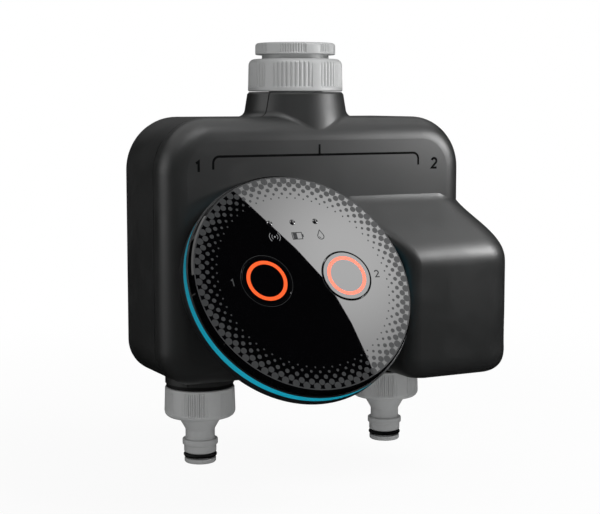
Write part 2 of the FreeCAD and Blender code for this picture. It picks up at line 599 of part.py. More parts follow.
for side, hand in ((-1, "left"), (1, "right")):
    x = mirrored_x(side)
    piece(front_rod("valve_radius", "diaphragm_thickness", x, "-valve_front", VALVE_Z), f"{hand}_diaphragm")
    bonnet_y = "(-valve_front - diaphragm_thickness)"
    guide = f"({bonnet_y} - bonnet_height)"
    bonnet = fuse(front_rod("valve_radius", "bonnet_height", x, bonnet_y, VALVE_Z),
                  front_rod("guide_radius", "guide_length", x, guide, VALVE_Z))
    bore = front_rod("guide_radius - guide_wall", f"{BORE_END} - bonnet_web", x, f"{bonnet_y} - bonnet_web", VALVE_Z)
    pilot = front_rod("1.2", "bonnet_web + 1", x, bonnet_y, VALVE_Z)
    room = front_rod("valve_radius - 3", "1.2", x, bonnet_y, VALVE_Z)
    piece(cut(bonnet, fuse(bore, room, pilot)), f"{hand}_valve_bonnet")
    coil = cut(front_rod("coil_radius", "coil_length", x, f"{guide} - 0.4", VALVE_Z),
               front_rod("guide_radius + 0.05", "coil_length + 2", x, guide, VALVE_Z))
    piece(coil, f"{hand}_solenoid_coil")
    plunger_rear = f"({bonnet_y} - bonnet_web - seat_gap)"
    piece(front_rod("plunger_radius", "plunger_length", x, plunger_rear, VALVE_Z), f"{hand}_plunger")
    spring = shaped(helical_spring(value(f"{BORE_END} - bonnet_web - seat_gap - plunger_length")), "spring")
    piece(place(spring, x, f"{plunger_rear} - plunger_length", VALVE_Z, ALONG_X, "90"), f"{hand}_plunger_spring")


# Outlet fittings
for side, hand in ((-1, "left"), (1, "right")):
    x = mirrored_x(side)
    piece(ring("collar_radius", "outlet_thread_radius + 0.05", "collar_height", x, "0",
               f"{BOSS_FOOT} - collar_height"), f"{hand}_outlet_collar")
    floor = f"({CONNECTOR_FOOT} + connector_floor)"
    stem_top = f"({CONNECTOR_FOOT} - hub_step - cone_height)"
    ridge_top = f"({stem_top} - stem_height)"
    barrel_top = f"({ridge_top} - ridge_height)"
    groove_top = f"({barrel_top} - barrel_height)"
    tip_top = f"({groove_top} - groove_height)"
    tip = f"({tip_top} - tip_height)"
    connector_body = turned(f"{hand}_connector", [
        ("outlet_thread_radius + thread_clearance", CONNECTOR_TOP),
        ("connector_radius - 0.5", CONNECTOR_TOP, "0.8"),
        ("connector_radius", CONNECTOR_FOOT, "connector_rim_round"),
        ("hub_radius", CONNECTOR_FOOT),
        ("hub_radius", f"{CONNECTOR_FOOT} - hub_step"),
        ("stem_radius", stem_top, "2.4"),
        ("stem_radius", ridge_top, "0.5"),
        ("ridge_radius", ridge_top, "0.4"),
        ("ridge_radius", barrel_top, "0.4"),
        ("barrel_radius", barrel_top),
        ("barrel_radius", groove_top),
        ("barrel_radius - 2 * ring_section + 0.2", groove_top),
        ("barrel_radius - 2 * ring_section + 0.2", tip_top),
        ("tip_radius", tip_top),
        ("tip_radius", tip, "0.9"),
        ("nipple_bore", tip),
        ("nipple_bore", floor),
        ("outlet_thread_radius + thread_clearance", floor),
    ])
    grips = shaped(grip_cutter("connector_radius", "connector_grip_depth", f"{CONNECTOR_FOOT} + 2",
                               f"{CONNECTOR_TOP} - 1", 14, 42.0))
    piece(place(cut(connector_body, grips), x), f"{hand}_hose_connector")
    piece(ring("outlet_thread_radius", "outlet_bore", "connector_washer_thickness", x, "0",
               f"{floor} + seat_gap"), f"{hand}_connector_washer")
    seal = doc.addObject("Part::Torus", "seal")
    bind(seal, Radius1="barrel_radius - ring_section + 0.25", Radius2="ring_section")
    piece(place(seal, x, "0", f"{groove_top} - groove_height / 2"), f"{hand}_connector_seal")


# Casing form: a rounded plate, a neck, a battery bulge, a skirt for the control face, outlet bosses
def rounded_plate(skin):
    """Plate of the casing, drawn in by skin."""
    left = -value("casing_left") + skin
    right = value("casing_right") - skin
    top = value(CASING_TOP) - skin
    low = value(UNDERSIDE) + skin
    front = -value("casing_front") + skin
    rear = value("casing_rear") - skin
    corners = [(left, low, value("low_corner")), (right, low, value("top_corner")),
               (right, top, value("top_corner")), (left, top, value("top_corner"))]
    edges = []
    for i, (x, z, radius) in enumerate(corners):
        radius -= skin
        to_right = 1 if x == left else -1
        to_top = 1 if z == low else -1
        beside = Vector(x + to_right * radius, front, z)
        above = Vector(x, front, z + to_top * radius)
        cut_back = radius * (1 - math.sqrt(0.5))
        middle = Vector(x + to_right * cut_back, front, z + to_top * cut_back)
        first, last = (above, beside) if i in (0, 2) else (beside, above)
        edges.append((first, middle, last))
    shapes = []
    for i, (first, middle, last) in enumerate(edges):
        shapes.append(Part.Arc(first, middle, last).toShape())
        shapes.append(Part.LineSegment(last, edges[(i + 1) % 4][0]).toShape())
    solid = Part.Face(Part.Wire(shapes)).extrude(Vector(0, rear - front, 0))
    for y, radius in ((front, value("front_round") - skin), (rear, value("rear_round") - skin)):
        rim = [edge for edge in solid.Edges if all(abs(v.Point.y - y) < 1e-4 for v in edge.Vertexes)]
        solid = solid.makeFillet(radius, rim)
    return solid


def rounded_section(left, right, front, rear, near, far, z):
    """Level outline of the bulge; near and far are its left and right corner radii."""
    corners = [(left, front, near, 1, 1), (right, front, far, -1, 1),
               (right, rear, far, -1, -1), (left, rear, near, 1, -1)]
    edges = []
    for i, (x, y, radius, to_right, to_rear) in enumerate(corners):
        along = Vector(x + to_right * radius, y, z)
        beside = Vector(x, y + to_rear * radius, z)
        inset = radius * (1 - math.sqrt(0.5))
        middle = Vector(x + to_right * inset, y + to_rear * inset, z)
        first, last = (beside, along) if i in (0, 2) else (along, beside)
        edges.append((first, middle, last))
    shapes = []
    for i, (first, middle, last) in enumerate(edges):
        shapes.append(Part.Arc(first, middle, last).toShape())
        shapes.append(Part.LineSegment(last, edges[(i + 1) % 4][0]).toShape())
    return Part.Wire(shapes)


def bulge(skin):
    """Battery bulge: swells to the front and the right on an S-shaped slope, with a round foot."""
    start = value(f"{CASING_TOP} - bulge_start")
    slope = value("bulge_slope")
    foot = value(BULGE_FOOT) + skin
    turn = value("bulge_round") - skin
    inset_front = value("casing_front - bulge_merge")
    inset_right = value("casing_right - bulge_merge")
    rear = value("bulge_rear") - skin
    levels = []
    steps = 10
    for i in range(steps + 1):
        share = 1 - (1 - i / steps) ** value("bulge_bias")
        eased = share * share * (3 - 2 * share)
        levels.append((start - slope * i / steps, eased, 0.0))
    straight = start - slope - (foot + turn)
    for share in (0.08, 0.3, 0.6, 0.92):
        levels.append((start - slope - straight * share, 1.0, 0.0))
    for degrees in (0, 30, 55, 75, 90):
        angle = math.radians(degrees)
        levels.append((foot + turn * (1 - math.sin(angle)), 1.0, turn * (1 - math.cos(angle))))
    sections = []
    for z, swell, inset in levels:
        pull = skin + inset
        front = -(inset_front + (value("bulge_front") - inset_front) * swell) + pull
        right = inset_right + (value("bulge_right") - inset_right) * swell - pull
        left = value("bulge_left") - value("bulge_lead") * (1 - swell) + pull
        near = value("bulge_inner_corner") + value("bulge_soften") * (1 - swell) - skin / 2
        far = value("bulge_corner") - pull
        sections.append(rounded_section(left, right, front, rear - inset, near, far, z))
    return Part.makeLoft(sections, True, False)


def face_point(u, v, w):
    """Point of the casing's frame for a point of the control face's own frame."""
    tilt = math.radians(value("face_tilt"))
    middle = Vector(value("face_x"), value(FACE_Y), value(FACE_Z))
    along = Vector(0, math.sin(tilt), math.cos(tilt))
    normal = Vector(0, -math.cos(tilt), math.sin(tilt))
    return middle + ALONG_X * u + along * v + normal * w


def face_normal():
    """Outward direction of the control face."""
    return (face_point(0, 0, 1) - face_point(0, 0, 0)).normalize()


def skirt(skin):
    """Skirt that carries the control face: from the face's circle back into the plate."""
    rim = Part.makeCircle(value("skirt_radius") - skin, face_point(0, 0, value(SKIRT_TOP) - skin), face_normal())
    root_middle = Vector(value("face_x"), value("skirt_depth - casing_front"), value(f"{FACE_Z} + skirt_lift"))
    root = Part.makeCircle(value("skirt_radius - skirt_draw") - skin, root_middle, TO_FRONT)
    return Part.makeLoft([Part.Wire(rim), Part.Wire(root)], True, False)


def neck(skin):
    """Neck round the inlet tube: a steep cone whose foot lies inside the plate."""
    top = value(NECK_TOP) - skin
    foot = value(f"{CASING_TOP} - neck_root") - skin
    narrow = value("neck_radius") - skin
    wide = narrow + value("neck_spread * (neck_height + neck_root) / neck_height")
    edge = value("neck_edge")
    profile = [Vector(0, 0, foot), Vector(wide, 0, foot), Vector(narrow, 0, top - edge),
               Vector(narrow - edge, 0, top), Vector(0, 0, top), Vector(0, 0, foot)]
    return Part.Face(Part.makePolygon(profile)).revolve(Vector(0, 0, 0), UP, 360)


def swept_neck(plate):
    """Plate with the neck on it and a fillet along the loop where they meet."""
    joined = plate.fuse(neck(0.0)).removeSplitter()
    level = value(CASING_TOP)
    loop = []
    for edge in joined.Edges:
        spots = edge.discretize(5)
        on_neck = all(math.hypot(spot.x, spot.y) < value("neck_radius + 2 * neck_spread") + 0.5 for spot in spots)
        near_top = all(level - value("neck_root") + 0.2 < spot.z < level + 0.1 for spot in spots)
        if on_neck and near_top:
            loop.append(edge)
    return joined.makeFillet(value("neck_fillet"), loop)


def bosses(skin):
    """Round bosses above the two outlets."""
    made = []
    for side in (-1, 1):
        low = Vector(side * value(OUTLET_X), 0, value(BOSS_FOOT) + skin)
        made.append(Part.makeCylinder(value("outlet_boss_radius") - skin, value("boss_height"), low))
    return made


def casing(skin):
    """The whole casing as one closed form, drawn in by skin."""
    plate = rounded_plate(skin).fuse(neck(skin)) if skin else swept_neck(rounded_plate(skin))
    return plate.multiFuse([bulge(skin), skirt(skin)] + bosses(skin)).removeSplitter()


# The control housing sits in a round pocket, which keeps a wall of its own where it enters the plate
pocket_radius = value("accent_radius + pocket_gap")
pocket_floor = value(SKIRT_TOP)
far_enough = 60.0
pocket = Part.makeCylinder(pocket_radius, far_enough, face_point(0, 0, pocket_floor), face_normal())
pocket_wall = Part.makeCylinder(pocket_radius + value("wall"), far_enough,
                                face_point(0, 0, pocket_floor - value("wall")), face_normal())
outer = casing(0.0).cut(pocket)
inner = casing(value("wall")).cut(pocket_wall)
hollow = outer.cut(inner)


def slab(front, rear):
    """Space between two upright planes across the whole object."""
    half_width = 3 * far_enough
    return Part.makeBox(2 * half_width, rear - front, 2 * half_width, Vector(-half_width, front, -1.6 * half_width))


seam = -value("seam_front")
half_gap = value("seam_gap") / 2

# Battery door: the piece of the bulge's floor between its hinge and its rear edge
door_left = value("cell_x - door_width / 2")
door_right = value("cell_x + door_width / 2")
hinge_y = -value("door_front")
hinge_z = value(HINGE_Z)
door_rear = -value("door_rear")
gap = value("door_gap")
barrel = value("hinge_barrel")
wall_skip = 2 * value("wall")
door_zone_low = value(DOOR_FACE) - wall_skip
front_room = barrel + 2 * gap
doorway = Part.makeBox(door_right - door_left + 2 * gap, door_rear - hinge_y + front_room + gap, 3 * wall_skip,
                       Vector(door_left - gap, hinge_y - front_room, door_zone_low))
door_prism = Part.makeBox(door_right - door_left, door_rear - hinge_y,
                          value(f"{TRAY_FOOT} - 1.5 * seat_gap") - door_zone_low,
                          Vector(door_left, hinge_y, door_zone_low))
door_plate = hollow.common(door_prism)
hinge_left = door_left + value("hinge_inset")
hinge_right = door_right - value("hinge_inset")
knuckle = value("knuckle_length")


def hinge_rod(radius, left, right):
    """Round bar on the door hinge's axis."""
    return Part.makeCylinder(radius, right - left, Vector(left, hinge_y, hinge_z), ALONG_X)


hinge_barrel = hinge_rod(barrel, hinge_left + knuckle + gap, hinge_right - knuckle - gap)
knuckle_spans = [(hinge_left, hinge_left + knuckle), (hinge_right - knuckle, hinge_right)]
knuckle_rooms = [hinge_rod(barrel + gap, left - gap, right + gap) for left, right in knuckle_spans]
latch_y = value(LATCH_Y)
latch_x = value("cell_x")
latch_foot = value(DOOR_FACE)
latch_seat = Part.makeCylinder(value("latch_radius + 2 * seat_gap"), value("latch_head + 2 * seat_gap") + wall_skip,
                               Vector(latch_x, latch_y, latch_foot - wall_skip))
latch_hole = Part.makeCylinder(value("latch_shank") + value("seat_gap"), 3 * wall_skip,
                               Vector(latch_x, latch_y, latch_foot - wall_skip))
pin_hole = hinge_rod(value("hinge_pin_radius") + value("seat_gap") / 2, door_left, door_right)
door = door_plate.fuse(hinge_barrel).cut([latch_seat, latch_hole, pin_hole] + knuckle_rooms).removeSplitter()
piece(shaped(door, "door"), "battery_door")
pin = hinge_rod(value("hinge_pin_radius"), hinge_left, hinge_right)
piece(shaped(pin, "pin"), "door_hinge_pin")

# Shell openings: control face, inlet tube, outlet tubes, doorway
opening = Part.makeCylinder(value("opening_radius"), value("wall") + 1.0, face_point(0, 0, value(SKIRT_TOP) + 0.5),
                            face_normal() * -1)
lip_screw_holes = []
lip_reach = value("control_screw_reach")
for turn in (0, 90, 180, 270):
    angle = math.radians(turn)
    spot = face_point(lip_reach * math.cos(angle), lip_reach * math.sin(angle), value(SKIRT_TOP) + 1)
    lip_screw_holes.append(Part.makeCylinder(value("small_screw_radius") + 0.15, 6, spot, face_normal() * -1))
tube_hole = Part.makeCylinder(value("inlet_tube_radius") + 0.05, 30, Vector(0, 0, value(NECK_TOP) - 15))
outlet_holes = [Part.makeCylinder(value("outlet_thread_radius") + 0.05, 30,
                                  Vector(side * value(OUTLET_X), 0, value(BOSS_FOOT) - 5)) for side in (-1, 1)]

# Screw bosses stand on the front shell and take the screws that come in through the rear shell
corner_inset = value("corner_boss_inset")
side_inset = value("side_boss_inset")
boss_left = -value("casing_left")
boss_right = value("casing_right")
boss_top = value(CASING_TOP)
boss_low = value(UNDERSIDE) + side_inset
middle_reach = value("middle_boss_reach")
boss_spots = [
    (boss_left + corner_inset, boss_top - corner_inset),
    (boss_right - corner_inset, boss_top - corner_inset),
    (boss_left + side_inset, boss_top - value("left_boss_drop")),
    (boss_right - side_inset, boss_top - value("right_boss_drop")),
    (-middle_reach, boss_low),
    (middle_reach, boss_low),
]
screw_reach = far_enough
rear_end = value("casing_rear - boss_root")
front_end = -value("casing_front - boss_root")


def screw_rod(radius, length, x, y, z):
    """Round bar that runs forward from its rear end, as a housing screw does."""
    return Part.makeCylinder(radius, length, Vector(x, y, z), TO_FRONT)


rear_posts, front_posts, screw_holes, pilot_holes, screws = [], [], [], [], []
head_seat = seam + value("screw_seat")
slot_long, slot_wide, slot_deep = (value(name) for name in ("slot_length", "slot_width", "slot_depth"))
screw = value("screw_radius")
for x, z in boss_spots:
    rear_posts.append(screw_rod(value("boss_radius"), rear_end - seam - half_gap, x, rear_end, z))
    front_posts.append(screw_rod(value("boss_radius"), seam - half_gap - front_end, x, seam - half_gap, z))
    shank = screw_rod(screw, value("screw_length"), x, head_seat, z)
    head_end = head_seat + value("screw_head_height")
    head = screw_rod(value("screw_head"), value("screw_head_height"), x, head_end, z)
    for wide, high in ((slot_long, slot_wide), (slot_wide, slot_long)):
        corner = Vector(x - wide / 2, head_end - slot_deep, z - high / 2)
        head = head.cut(Part.makeBox(wide, slot_deep + 1, high, corner))
    screws.append(shank.fuse(head))
    screw_holes.append(screw_rod(screw + value("screw_hole_gap"), screw_reach, x, screw_reach / 2, z))
    head_way = value("screw_head + screw_hole_gap")
    screw_holes.append(screw_rod(head_way, screw_reach / 2 - head_seat, x, screw_reach / 2, z))
    pilot_end = head_seat - value("screw_length")
    pilot_holes.append(screw_rod(screw, seam - pilot_end, x, seam, z))

rear_shell = hollow.common(slab(seam + half_gap, far_enough))
rear_shell = rear_shell.multiFuse([post.common(outer) for post in rear_posts])
front_shell = hollow.common(slab(-3 * far_enough, seam - half_gap))
front_shell = front_shell.multiFuse([post.common(outer) for post in front_posts])
knuckles = []
for left, right in knuckle_spans:
    web = Part.makeBox(right - left, front_room + 1, barrel, Vector(left, hinge_y - front_room - 1, hinge_z))
    knuckles.append(hinge_rod(barrel, left, right).fuse(web.common(outer)))
rear_shell = rear_shell.cut([tube_hole] + outlet_holes + screw_holes)
front_shell = front_shell.cut([tube_hole, opening, doorway] + outlet_holes + pilot_holes + lip_screw_holes)
front_shell = front_shell.multiFuse(knuckles).cut(pin)
piece(shaped(front_shell.removeSplitter(), "front"), "front_shell")
piece(shaped(rear_shell.removeSplitter(), "rear"), "rear_shell")
piece(shaped(Part.makeCompound(screws), "screws"), "housing_screws")

# Seal in the joint between the shells, set back from the outside
seal = casing(value("seal_inset")).cut(casing(value("wall - seal_reach")))
seal = seal.common(slab(seam - half_gap, seam + half_gap))
seal = seal.cut([tube_hole, pocket_wall] + outlet_holes)
piece(shaped(seal.removeSplitter(), "seal"), "shell_seal")

# Battery tray, cells, contacts, the door's sealing cord and its coin screw
tray_body = box(TRAY_LENGTH, TRAY_DEPTH, f"{TRAY_TOP} - {TRAY_FOOT}", TRAY_LEFT, TRAY_FRONT, TRAY_FOOT)
tray_base = box(f"{TRAY_LENGTH} + 2 * tray_rim", f"-door_rear + 3 - {TRAY_FRONT}", f"{TRAY_FOOT} - {FLOOR} + 1.5",
                f"{TRAY_LEFT} - tray_rim", TRAY_FRONT, FLOOR)
screw_block = box("tray_screw_block", "tray_screw_block", "tray_screw_height", "cell_x - tray_screw_block / 2",
                  f"{TRAY_FRONT} + {TRAY_DEPTH} - tray_wall", TRAY_FOOT)
hinge_way = shaped(hinge_rod(barrel + gap, door_left - gap, door_right + gap), "hinge_way")
chambers = [rod("cell_radius + cell_slack", f"{CELL_TOP} + contact_space - {TRAY_FOOT} + 1",
                f"cell_x + {i} * cell_pitch", "cell_y", f"{TRAY_FOOT} - 1") for i in (-1, 0, 1)]
door_room = box("door_width + 2 * door_gap + 0.2", "door_front - door_rear + 10", "door_gasket_height + 1",
                "cell_x - door_width / 2 - door_gap - 0.1", "-door_front - 9.5", f"{FLOOR} - 1")
screw_way = rod("latch_shank + 0.9", "6", "cell_x", LATCH_Y, f"{TRAY_FOOT} - 1")
tray = doc.addObject("Part::Common", "tray")
tray.Base = cut(fuse(tray_body, tray_base, screw_block), door_room, screw_way, hinge_way, *chambers)
tray.Tool = shaped(inner, "casing_inside")
piece(tray, "battery_tray")

cells, tray_contacts, door_contacts = [], [], []
for i in (-1, 0, 1):
    x = f"cell_x + {i} * cell_pitch"
    can = rod("cell_radius", "cell_length - cell_cap_height", x, "cell_y", CELL_FOOT)
    cap = rod("cell_cap_radius", "cell_cap_height", x, "cell_y", f"{CELL_TOP} - cell_cap_height")
    cells.append(fuse(can, cap))
    plate = rod("cell_radius - 1", "contact_plate", x, "cell_y", f"{CELL_TOP} + contact_space - contact_plate")
    upper = doc.addObject("Part::Cone", "upper_contact")
    bind(upper, Radius1="1.6", Radius2="contact_wide", Height="contact_space - contact_plate")
    tray_contacts.append(fuse(plate, place(upper, x, "cell_y", CELL_TOP)))
    disc = rod("contact_wide", "contact_plate", x, "cell_y", FLOOR)
    lower = doc.addObject("Part::Cone", "lower_contact")
    bind(lower, Radius1="contact_wide", Radius2="2",
         Height="contact_space + door_gasket_height - contact_plate - seat_gap")
    door_contacts.append(fuse(disc, place(lower, x, "cell_y", f"{FLOOR} + contact_plate")))
piece(group(*cells), "battery_cells")
piece(group(*tray_contacts), "tray_contacts")
piece(group(*door_contacts), "door_contacts")

CORD_FRONT = "(-door_front + hinge_barrel + 0.4)"
CORD_DEPTH = f"(-door_rear - 0.4 - {CORD_FRONT})"
cord = cut(box("door_width - 0.4", CORD_DEPTH, "door_gasket_height - 0.1", "cell_x - door_width / 2 + 0.2",
               CORD_FRONT, FLOOR),
           box("door_width - 0.4 - 2 * cord_width", f"{CORD_DEPTH} - 2 * cord_width", "door_gasket_height + 1",
               "cell_x - door_width / 2 + 0.2 + cord_width", f"{CORD_FRONT} + cord_width", f"{FLOOR} - 0.5"),
           shaped(door, "door_form"))
piece(cord, "door_gasket")

latch_top = rod("latch_radius", "latch_head", "cell_x", LATCH_Y, f"{DOOR_FACE} + seat_gap")
latch_body = rod("latch_shank", "wall + 4", "cell_x", LATCH_Y, f"{DOOR_FACE} + 0.5")
coin_slot = box("2 * latch_radius + 2", "1.6", "0.8", "cell_x - latch_radius - 1", f"{LATCH_Y} - 0.8",
                f"{DOOR_FACE} - 0.1")
piece(cut(fuse(latch_top, latch_body), coin_slot), "door_latch_screw")


# Control unit, each piece about the face's own axes: z is out of the face, y up along it
def spoke(turn, reach):
    """Formulas of a point at a turn and a distance from the middle of the face."""
    return f"({math.cos(math.radians(turn)):.5f} * {reach})", f"({math.sin(math.radians(turn)):.5f} * {reach})"


face_plate = turned("face_cover", [
    ("0", "0"),
    ("face_radius - face_edge", "0"),
    ("face_radius", "-face_edge"),
    ("accent_radius - 0.3", "-face_skirt"),
    ("accent_radius - accent_width", "-face_skirt"),
    ("accent_radius - accent_width", "-face_thickness"),
    ("0", "-face_thickness"),
])
face_holes = []
for side in (-1, 1):
    x = f"controls_right + {side} * button_reach"
    face_holes.append(rod("button_radius + button_gap", "face_thickness + 2", x, "button_up", "-face_thickness - 1"))
    bevel = doc.addObject("Part::Cone", "bevel")
    bind(bevel, Radius1="button_radius + button_gap", Radius2="button_radius + button_gap + 2 * button_edge",
         Height="2 * button_edge")
    face_holes.append(place(bevel, x, "button_up", "-button_edge"))
for i in (-1, 0, 1):
    face_holes.append(rod("lamp_radius", "face_thickness + 2", f"controls_right + {i} * lamp_pitch", "lamp_up",
                          "-face_thickness - 1"))
piece(place_on_face(cut(face_plate, *face_holes)), "face_cover")

lamp_bar = box("2 * lamp_pitch + lamp_bar_width", "lamp_bar_width", "lamp_bar_height",
               "controls_right - lamp_pitch - lamp_bar_width / 2", "lamp_up - lamp_bar_width / 2",
               "-face_thickness - lamp_bar_height")
lamp_pins = [rod("lamp_radius - 0.03", "face_thickness + 0.5", f"controls_right + {i} * lamp_pitch", "lamp_up",
                 "-face_thickness - 0.5") for i in (-1, 0, 1)]
piece(place_on_face(fuse(lamp_bar, *lamp_pins)), "status_lamps")

STEM_FOOT = "(-board_depth + switch_height + button_travel + 0.1)"
for side, number in ((-1, 1), (1, 2)):
    x = f"(controls_right + {side} * button_reach)"
    cap = rod("button_radius", "face_thickness + button_proud + button_flange - button_edge", x, "button_up",
              "-face_thickness - button_flange")
    edge = doc.addObject("Part::Cone", "edge")
    bind(edge, Radius1="button_radius", Radius2="button_radius - button_edge", Height="button_edge")
    place(edge, x, "button_up", "button_proud - button_edge")
    flange = rod("button_radius + button_rim", "button_flange - 0.15", x, "button_up",
                 "-face_thickness - button_flange")
    stem = rod("button_stem", f"-face_thickness - {STEM_FOOT}", x, "button_up", STEM_FOOT)
    light_foot = "button_proud - light_depth"
    groove = ring("light_radius + light_width / 2", "light_radius - light_width / 2", "light_depth + 1", x,
                  "button_up", light_foot)
    piece(place_on_face(cut(fuse(cap, edge, flange, stem), groove)), f"button_{number}")
    piece(place_on_face(ring("light_radius + light_width / 2", "light_radius - light_width / 2", "light_depth", x,
                             "button_up", light_foot)), f"button_light_{number}")

piece(place_on_face(turned("accent", [
    ("accent_radius - accent_width", "-face_skirt"),
    ("accent_radius - 0.3", "-face_skirt"),
    ("accent_radius", "-face_skirt - 1"),
    ("accent_radius", BASE_TOP, "0.3"),
    ("accent_radius - accent_width", BASE_TOP),
])), "accent_ring")

housing = turned("housing", [
    ("accent_radius - accent_width", "-face_thickness"),
    ("accent_radius - accent_width", BASE_TOP),
    ("accent_radius - 0.2", BASE_TOP),
    ("accent_radius - base_taper", BASE_FOOT, "0.8"),
    ("opening_radius - spigot_gap", BASE_FOOT),
    ("opening_radius - spigot_gap", SPIGOT_FOOT),
    ("0", SPIGOT_FOOT),
    ("0", f"{SPIGOT_FOOT} + base_floor"),
    ("opening_radius - spigot_gap - base_wall", f"{SPIGOT_FOOT} + base_floor"),
    ("opening_radius - spigot_gap - base_wall", f"{BASE_FOOT} + base_floor"),
    ("accent_radius - accent_width - base_wall", f"{BASE_FOOT} + base_floor"),
    ("accent_radius - accent_width - base_wall", "-face_thickness"),
])
BOARD_FOOT = f"({BOARD_TOP} - board_thickness)"
posts, threads, board_screws, board_holes, control_screws = [], [], [], [], []
for turn in (45, 135, 225, 315):
    x, y = spoke(turn, "board_screw_reach")
    posts.append(rod("board_post_radius", f"{BOARD_FOOT} - {SPIGOT_FOOT} - base_floor / 2", x, y,
                     f"{SPIGOT_FOOT} + base_floor / 2"))
    threads.append(rod("small_screw_radius", "small_screw_grip + 0.1", x, y, f"{BOARD_FOOT} - small_screw_grip"))
    board_holes.append(rod("small_screw_radius", "board_thickness + 2", x, y, f"{BOARD_FOOT} - 1"))
    board_screws.append(fuse(rod("small_screw_radius", "board_thickness + small_screw_grip", x, y,
                                 f"{BOARD_FOOT} - small_screw_grip"),
                             rod("small_screw_head", "small_screw_head_height", x, y, BOARD_TOP)))
for turn in (0, 90, 180, 270):
    x, y = spoke(turn, "control_screw_reach")
    posts.append(rod("lip_post_radius", "small_screw_grip - 0.5", x, y, BASE_FOOT))
    threads.append(rod("small_screw_radius", "small_screw_grip - 1", x, y, BASE_FOOT))
    lip_back = f"({SKIRT_TOP} - wall)"
    control_screws.append(fuse(rod("small_screw_radius", f"{BASE_FOOT} + small_screw_grip - 1 - {lip_back}", x, y,
                                   lip_back),
                               rod("small_screw_head", "small_screw_head_height", x, y,
                                   f"{lip_back} - small_screw_head_height")))
piece(place_on_face(cut(fuse(housing, *posts), *threads)), "control_housing")
piece(place_on_face(ring("skirt_radius - 1.2", "control_screw_reach + 1.6", "gasket_gap", z=SKIRT_TOP)),
      "control_gasket")
board = rod("board_radius", "board_thickness", z=BOARD_FOOT)
piece(place_on_face(cut(board, *board_holes)), "circuit_board")
piece(place_on_face(group(*board_screws)), "board_screws")
piece(place_on_face(group(*control_screws)), "control_screws")

switches = []
for side in (-1, 1):
    x = f"(controls_right + {side} * button_reach)"
    body = box("switch_width", "switch_width", "switch_height - 1", f"{x} - switch_width / 2",
               "button_up - switch_width / 2", BOARD_TOP)
    switches.append(fuse(body, rod("1.7", "switch_height", x, "button_up", BOARD_TOP)))
piece(place_on_face(group(*switches)), "push_switches")
radio_board = box("radio_width", "radio_length", "radio_board", "-radio_width / 2", "-radio_low", BOARD_TOP)
shield = box("radio_width - 2 * radio_rim", "radio_length - 2 * radio_rim", "radio_height",
             "radio_rim - radio_width / 2", "radio_rim - radio_low", BOARD_TOP)
piece(place_on_face(fuse(radio_board, shield)), "radio_module")
leds = [box("led_length", "led_width", "led_height", f"controls_right + {i} * lamp_pitch - led_length / 2",
            "lamp_up - led_width / 2", BOARD_TOP) for i in (-1, 0, 1)]
piece(place_on_face(group(*leds)), "status_leds")

doc.recompute()
for item in doc.Objects:
    if "Invalid" in item.State or "Error" in item.State:
        raise RuntimeError(f"{item.Name} failed to build: {item.State}")
os.makedirs("parts", exist_ok=True)
for item in pieces:
    shape = item.Shape
    if shape.isNull() or not shape.isValid() or not shape.Solids:
        raise RuntimeError(f"{item.Label} has no valid shape")
    shape.exportStep(f"parts/{item.Label}.step")
print(f"{len(pieces)} pieces written")
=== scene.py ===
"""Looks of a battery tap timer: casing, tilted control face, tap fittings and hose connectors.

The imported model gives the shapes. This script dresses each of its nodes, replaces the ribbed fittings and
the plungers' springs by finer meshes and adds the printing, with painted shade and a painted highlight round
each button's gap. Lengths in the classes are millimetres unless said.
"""
import logging
import math
from dataclasses import dataclass, field
from enum import Enum
from typing import Callable, Iterable, Optional, Sequence

import bpy
from mathutils import Matrix, Vector

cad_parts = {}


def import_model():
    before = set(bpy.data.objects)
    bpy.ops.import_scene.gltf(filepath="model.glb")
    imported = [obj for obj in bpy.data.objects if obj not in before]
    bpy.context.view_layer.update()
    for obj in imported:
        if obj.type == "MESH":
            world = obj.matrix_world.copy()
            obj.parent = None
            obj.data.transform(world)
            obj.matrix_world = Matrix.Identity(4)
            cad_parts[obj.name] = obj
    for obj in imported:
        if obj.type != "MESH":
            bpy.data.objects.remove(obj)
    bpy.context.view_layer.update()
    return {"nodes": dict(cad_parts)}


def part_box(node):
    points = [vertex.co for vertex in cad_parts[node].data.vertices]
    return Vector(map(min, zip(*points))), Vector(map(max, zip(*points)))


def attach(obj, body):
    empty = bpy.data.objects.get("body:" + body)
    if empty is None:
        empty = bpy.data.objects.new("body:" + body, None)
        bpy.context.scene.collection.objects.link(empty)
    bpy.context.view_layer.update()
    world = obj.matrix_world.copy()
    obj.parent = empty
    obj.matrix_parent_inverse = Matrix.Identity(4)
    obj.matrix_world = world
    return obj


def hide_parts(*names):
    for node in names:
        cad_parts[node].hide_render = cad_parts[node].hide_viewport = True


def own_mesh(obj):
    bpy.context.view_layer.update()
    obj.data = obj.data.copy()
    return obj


logging.basicConfig(level=logging.INFO, format="%(message)s")
log = logging.getLogger("tap_timer")

MM = 0.001
COAT_ROUGHNESS = 0.006
# Socket numbers of the colour mix node
MIX_FACTOR, MIX_FIRST, MIX_SECOND, MIX_RESULT = 0, 6, 7, 2
Point = tuple[float, float]
Triple = tuple[float, float, float]
Colour = Triple
Place = Callable[[float, float, float], Vector]
Shape = Callable[[float, float, float], float]
DUST_TONE: Colour = (0.35, 0.34, 0.32)


def grey(code: float) -> float:
    """Linear value of an 8-bit screen grey."""
    share = code / 255.0
    return share / 12.92 if share <= 0.04045 else ((share + 0.055) / 1.055) ** 2.4


def screen(red: float, green: float, blue: float) -> Colour:
    """Linear colour of an 8-bit screen colour."""
    return grey(red), grey(green), grey(blue)


class Side(Enum):
    """Which of the two outlets or buttons a piece belongs to."""

    LEFT = -1
    RIGHT = 1

    @property
    def hand(self) -> str:
        """Word for the side in the nodes' names."""
        return self.name.lower()

    @property
    def number(self) -> int:
        """Number of the valve and the button on this side."""
        return 1 if self is Side.LEFT else 2


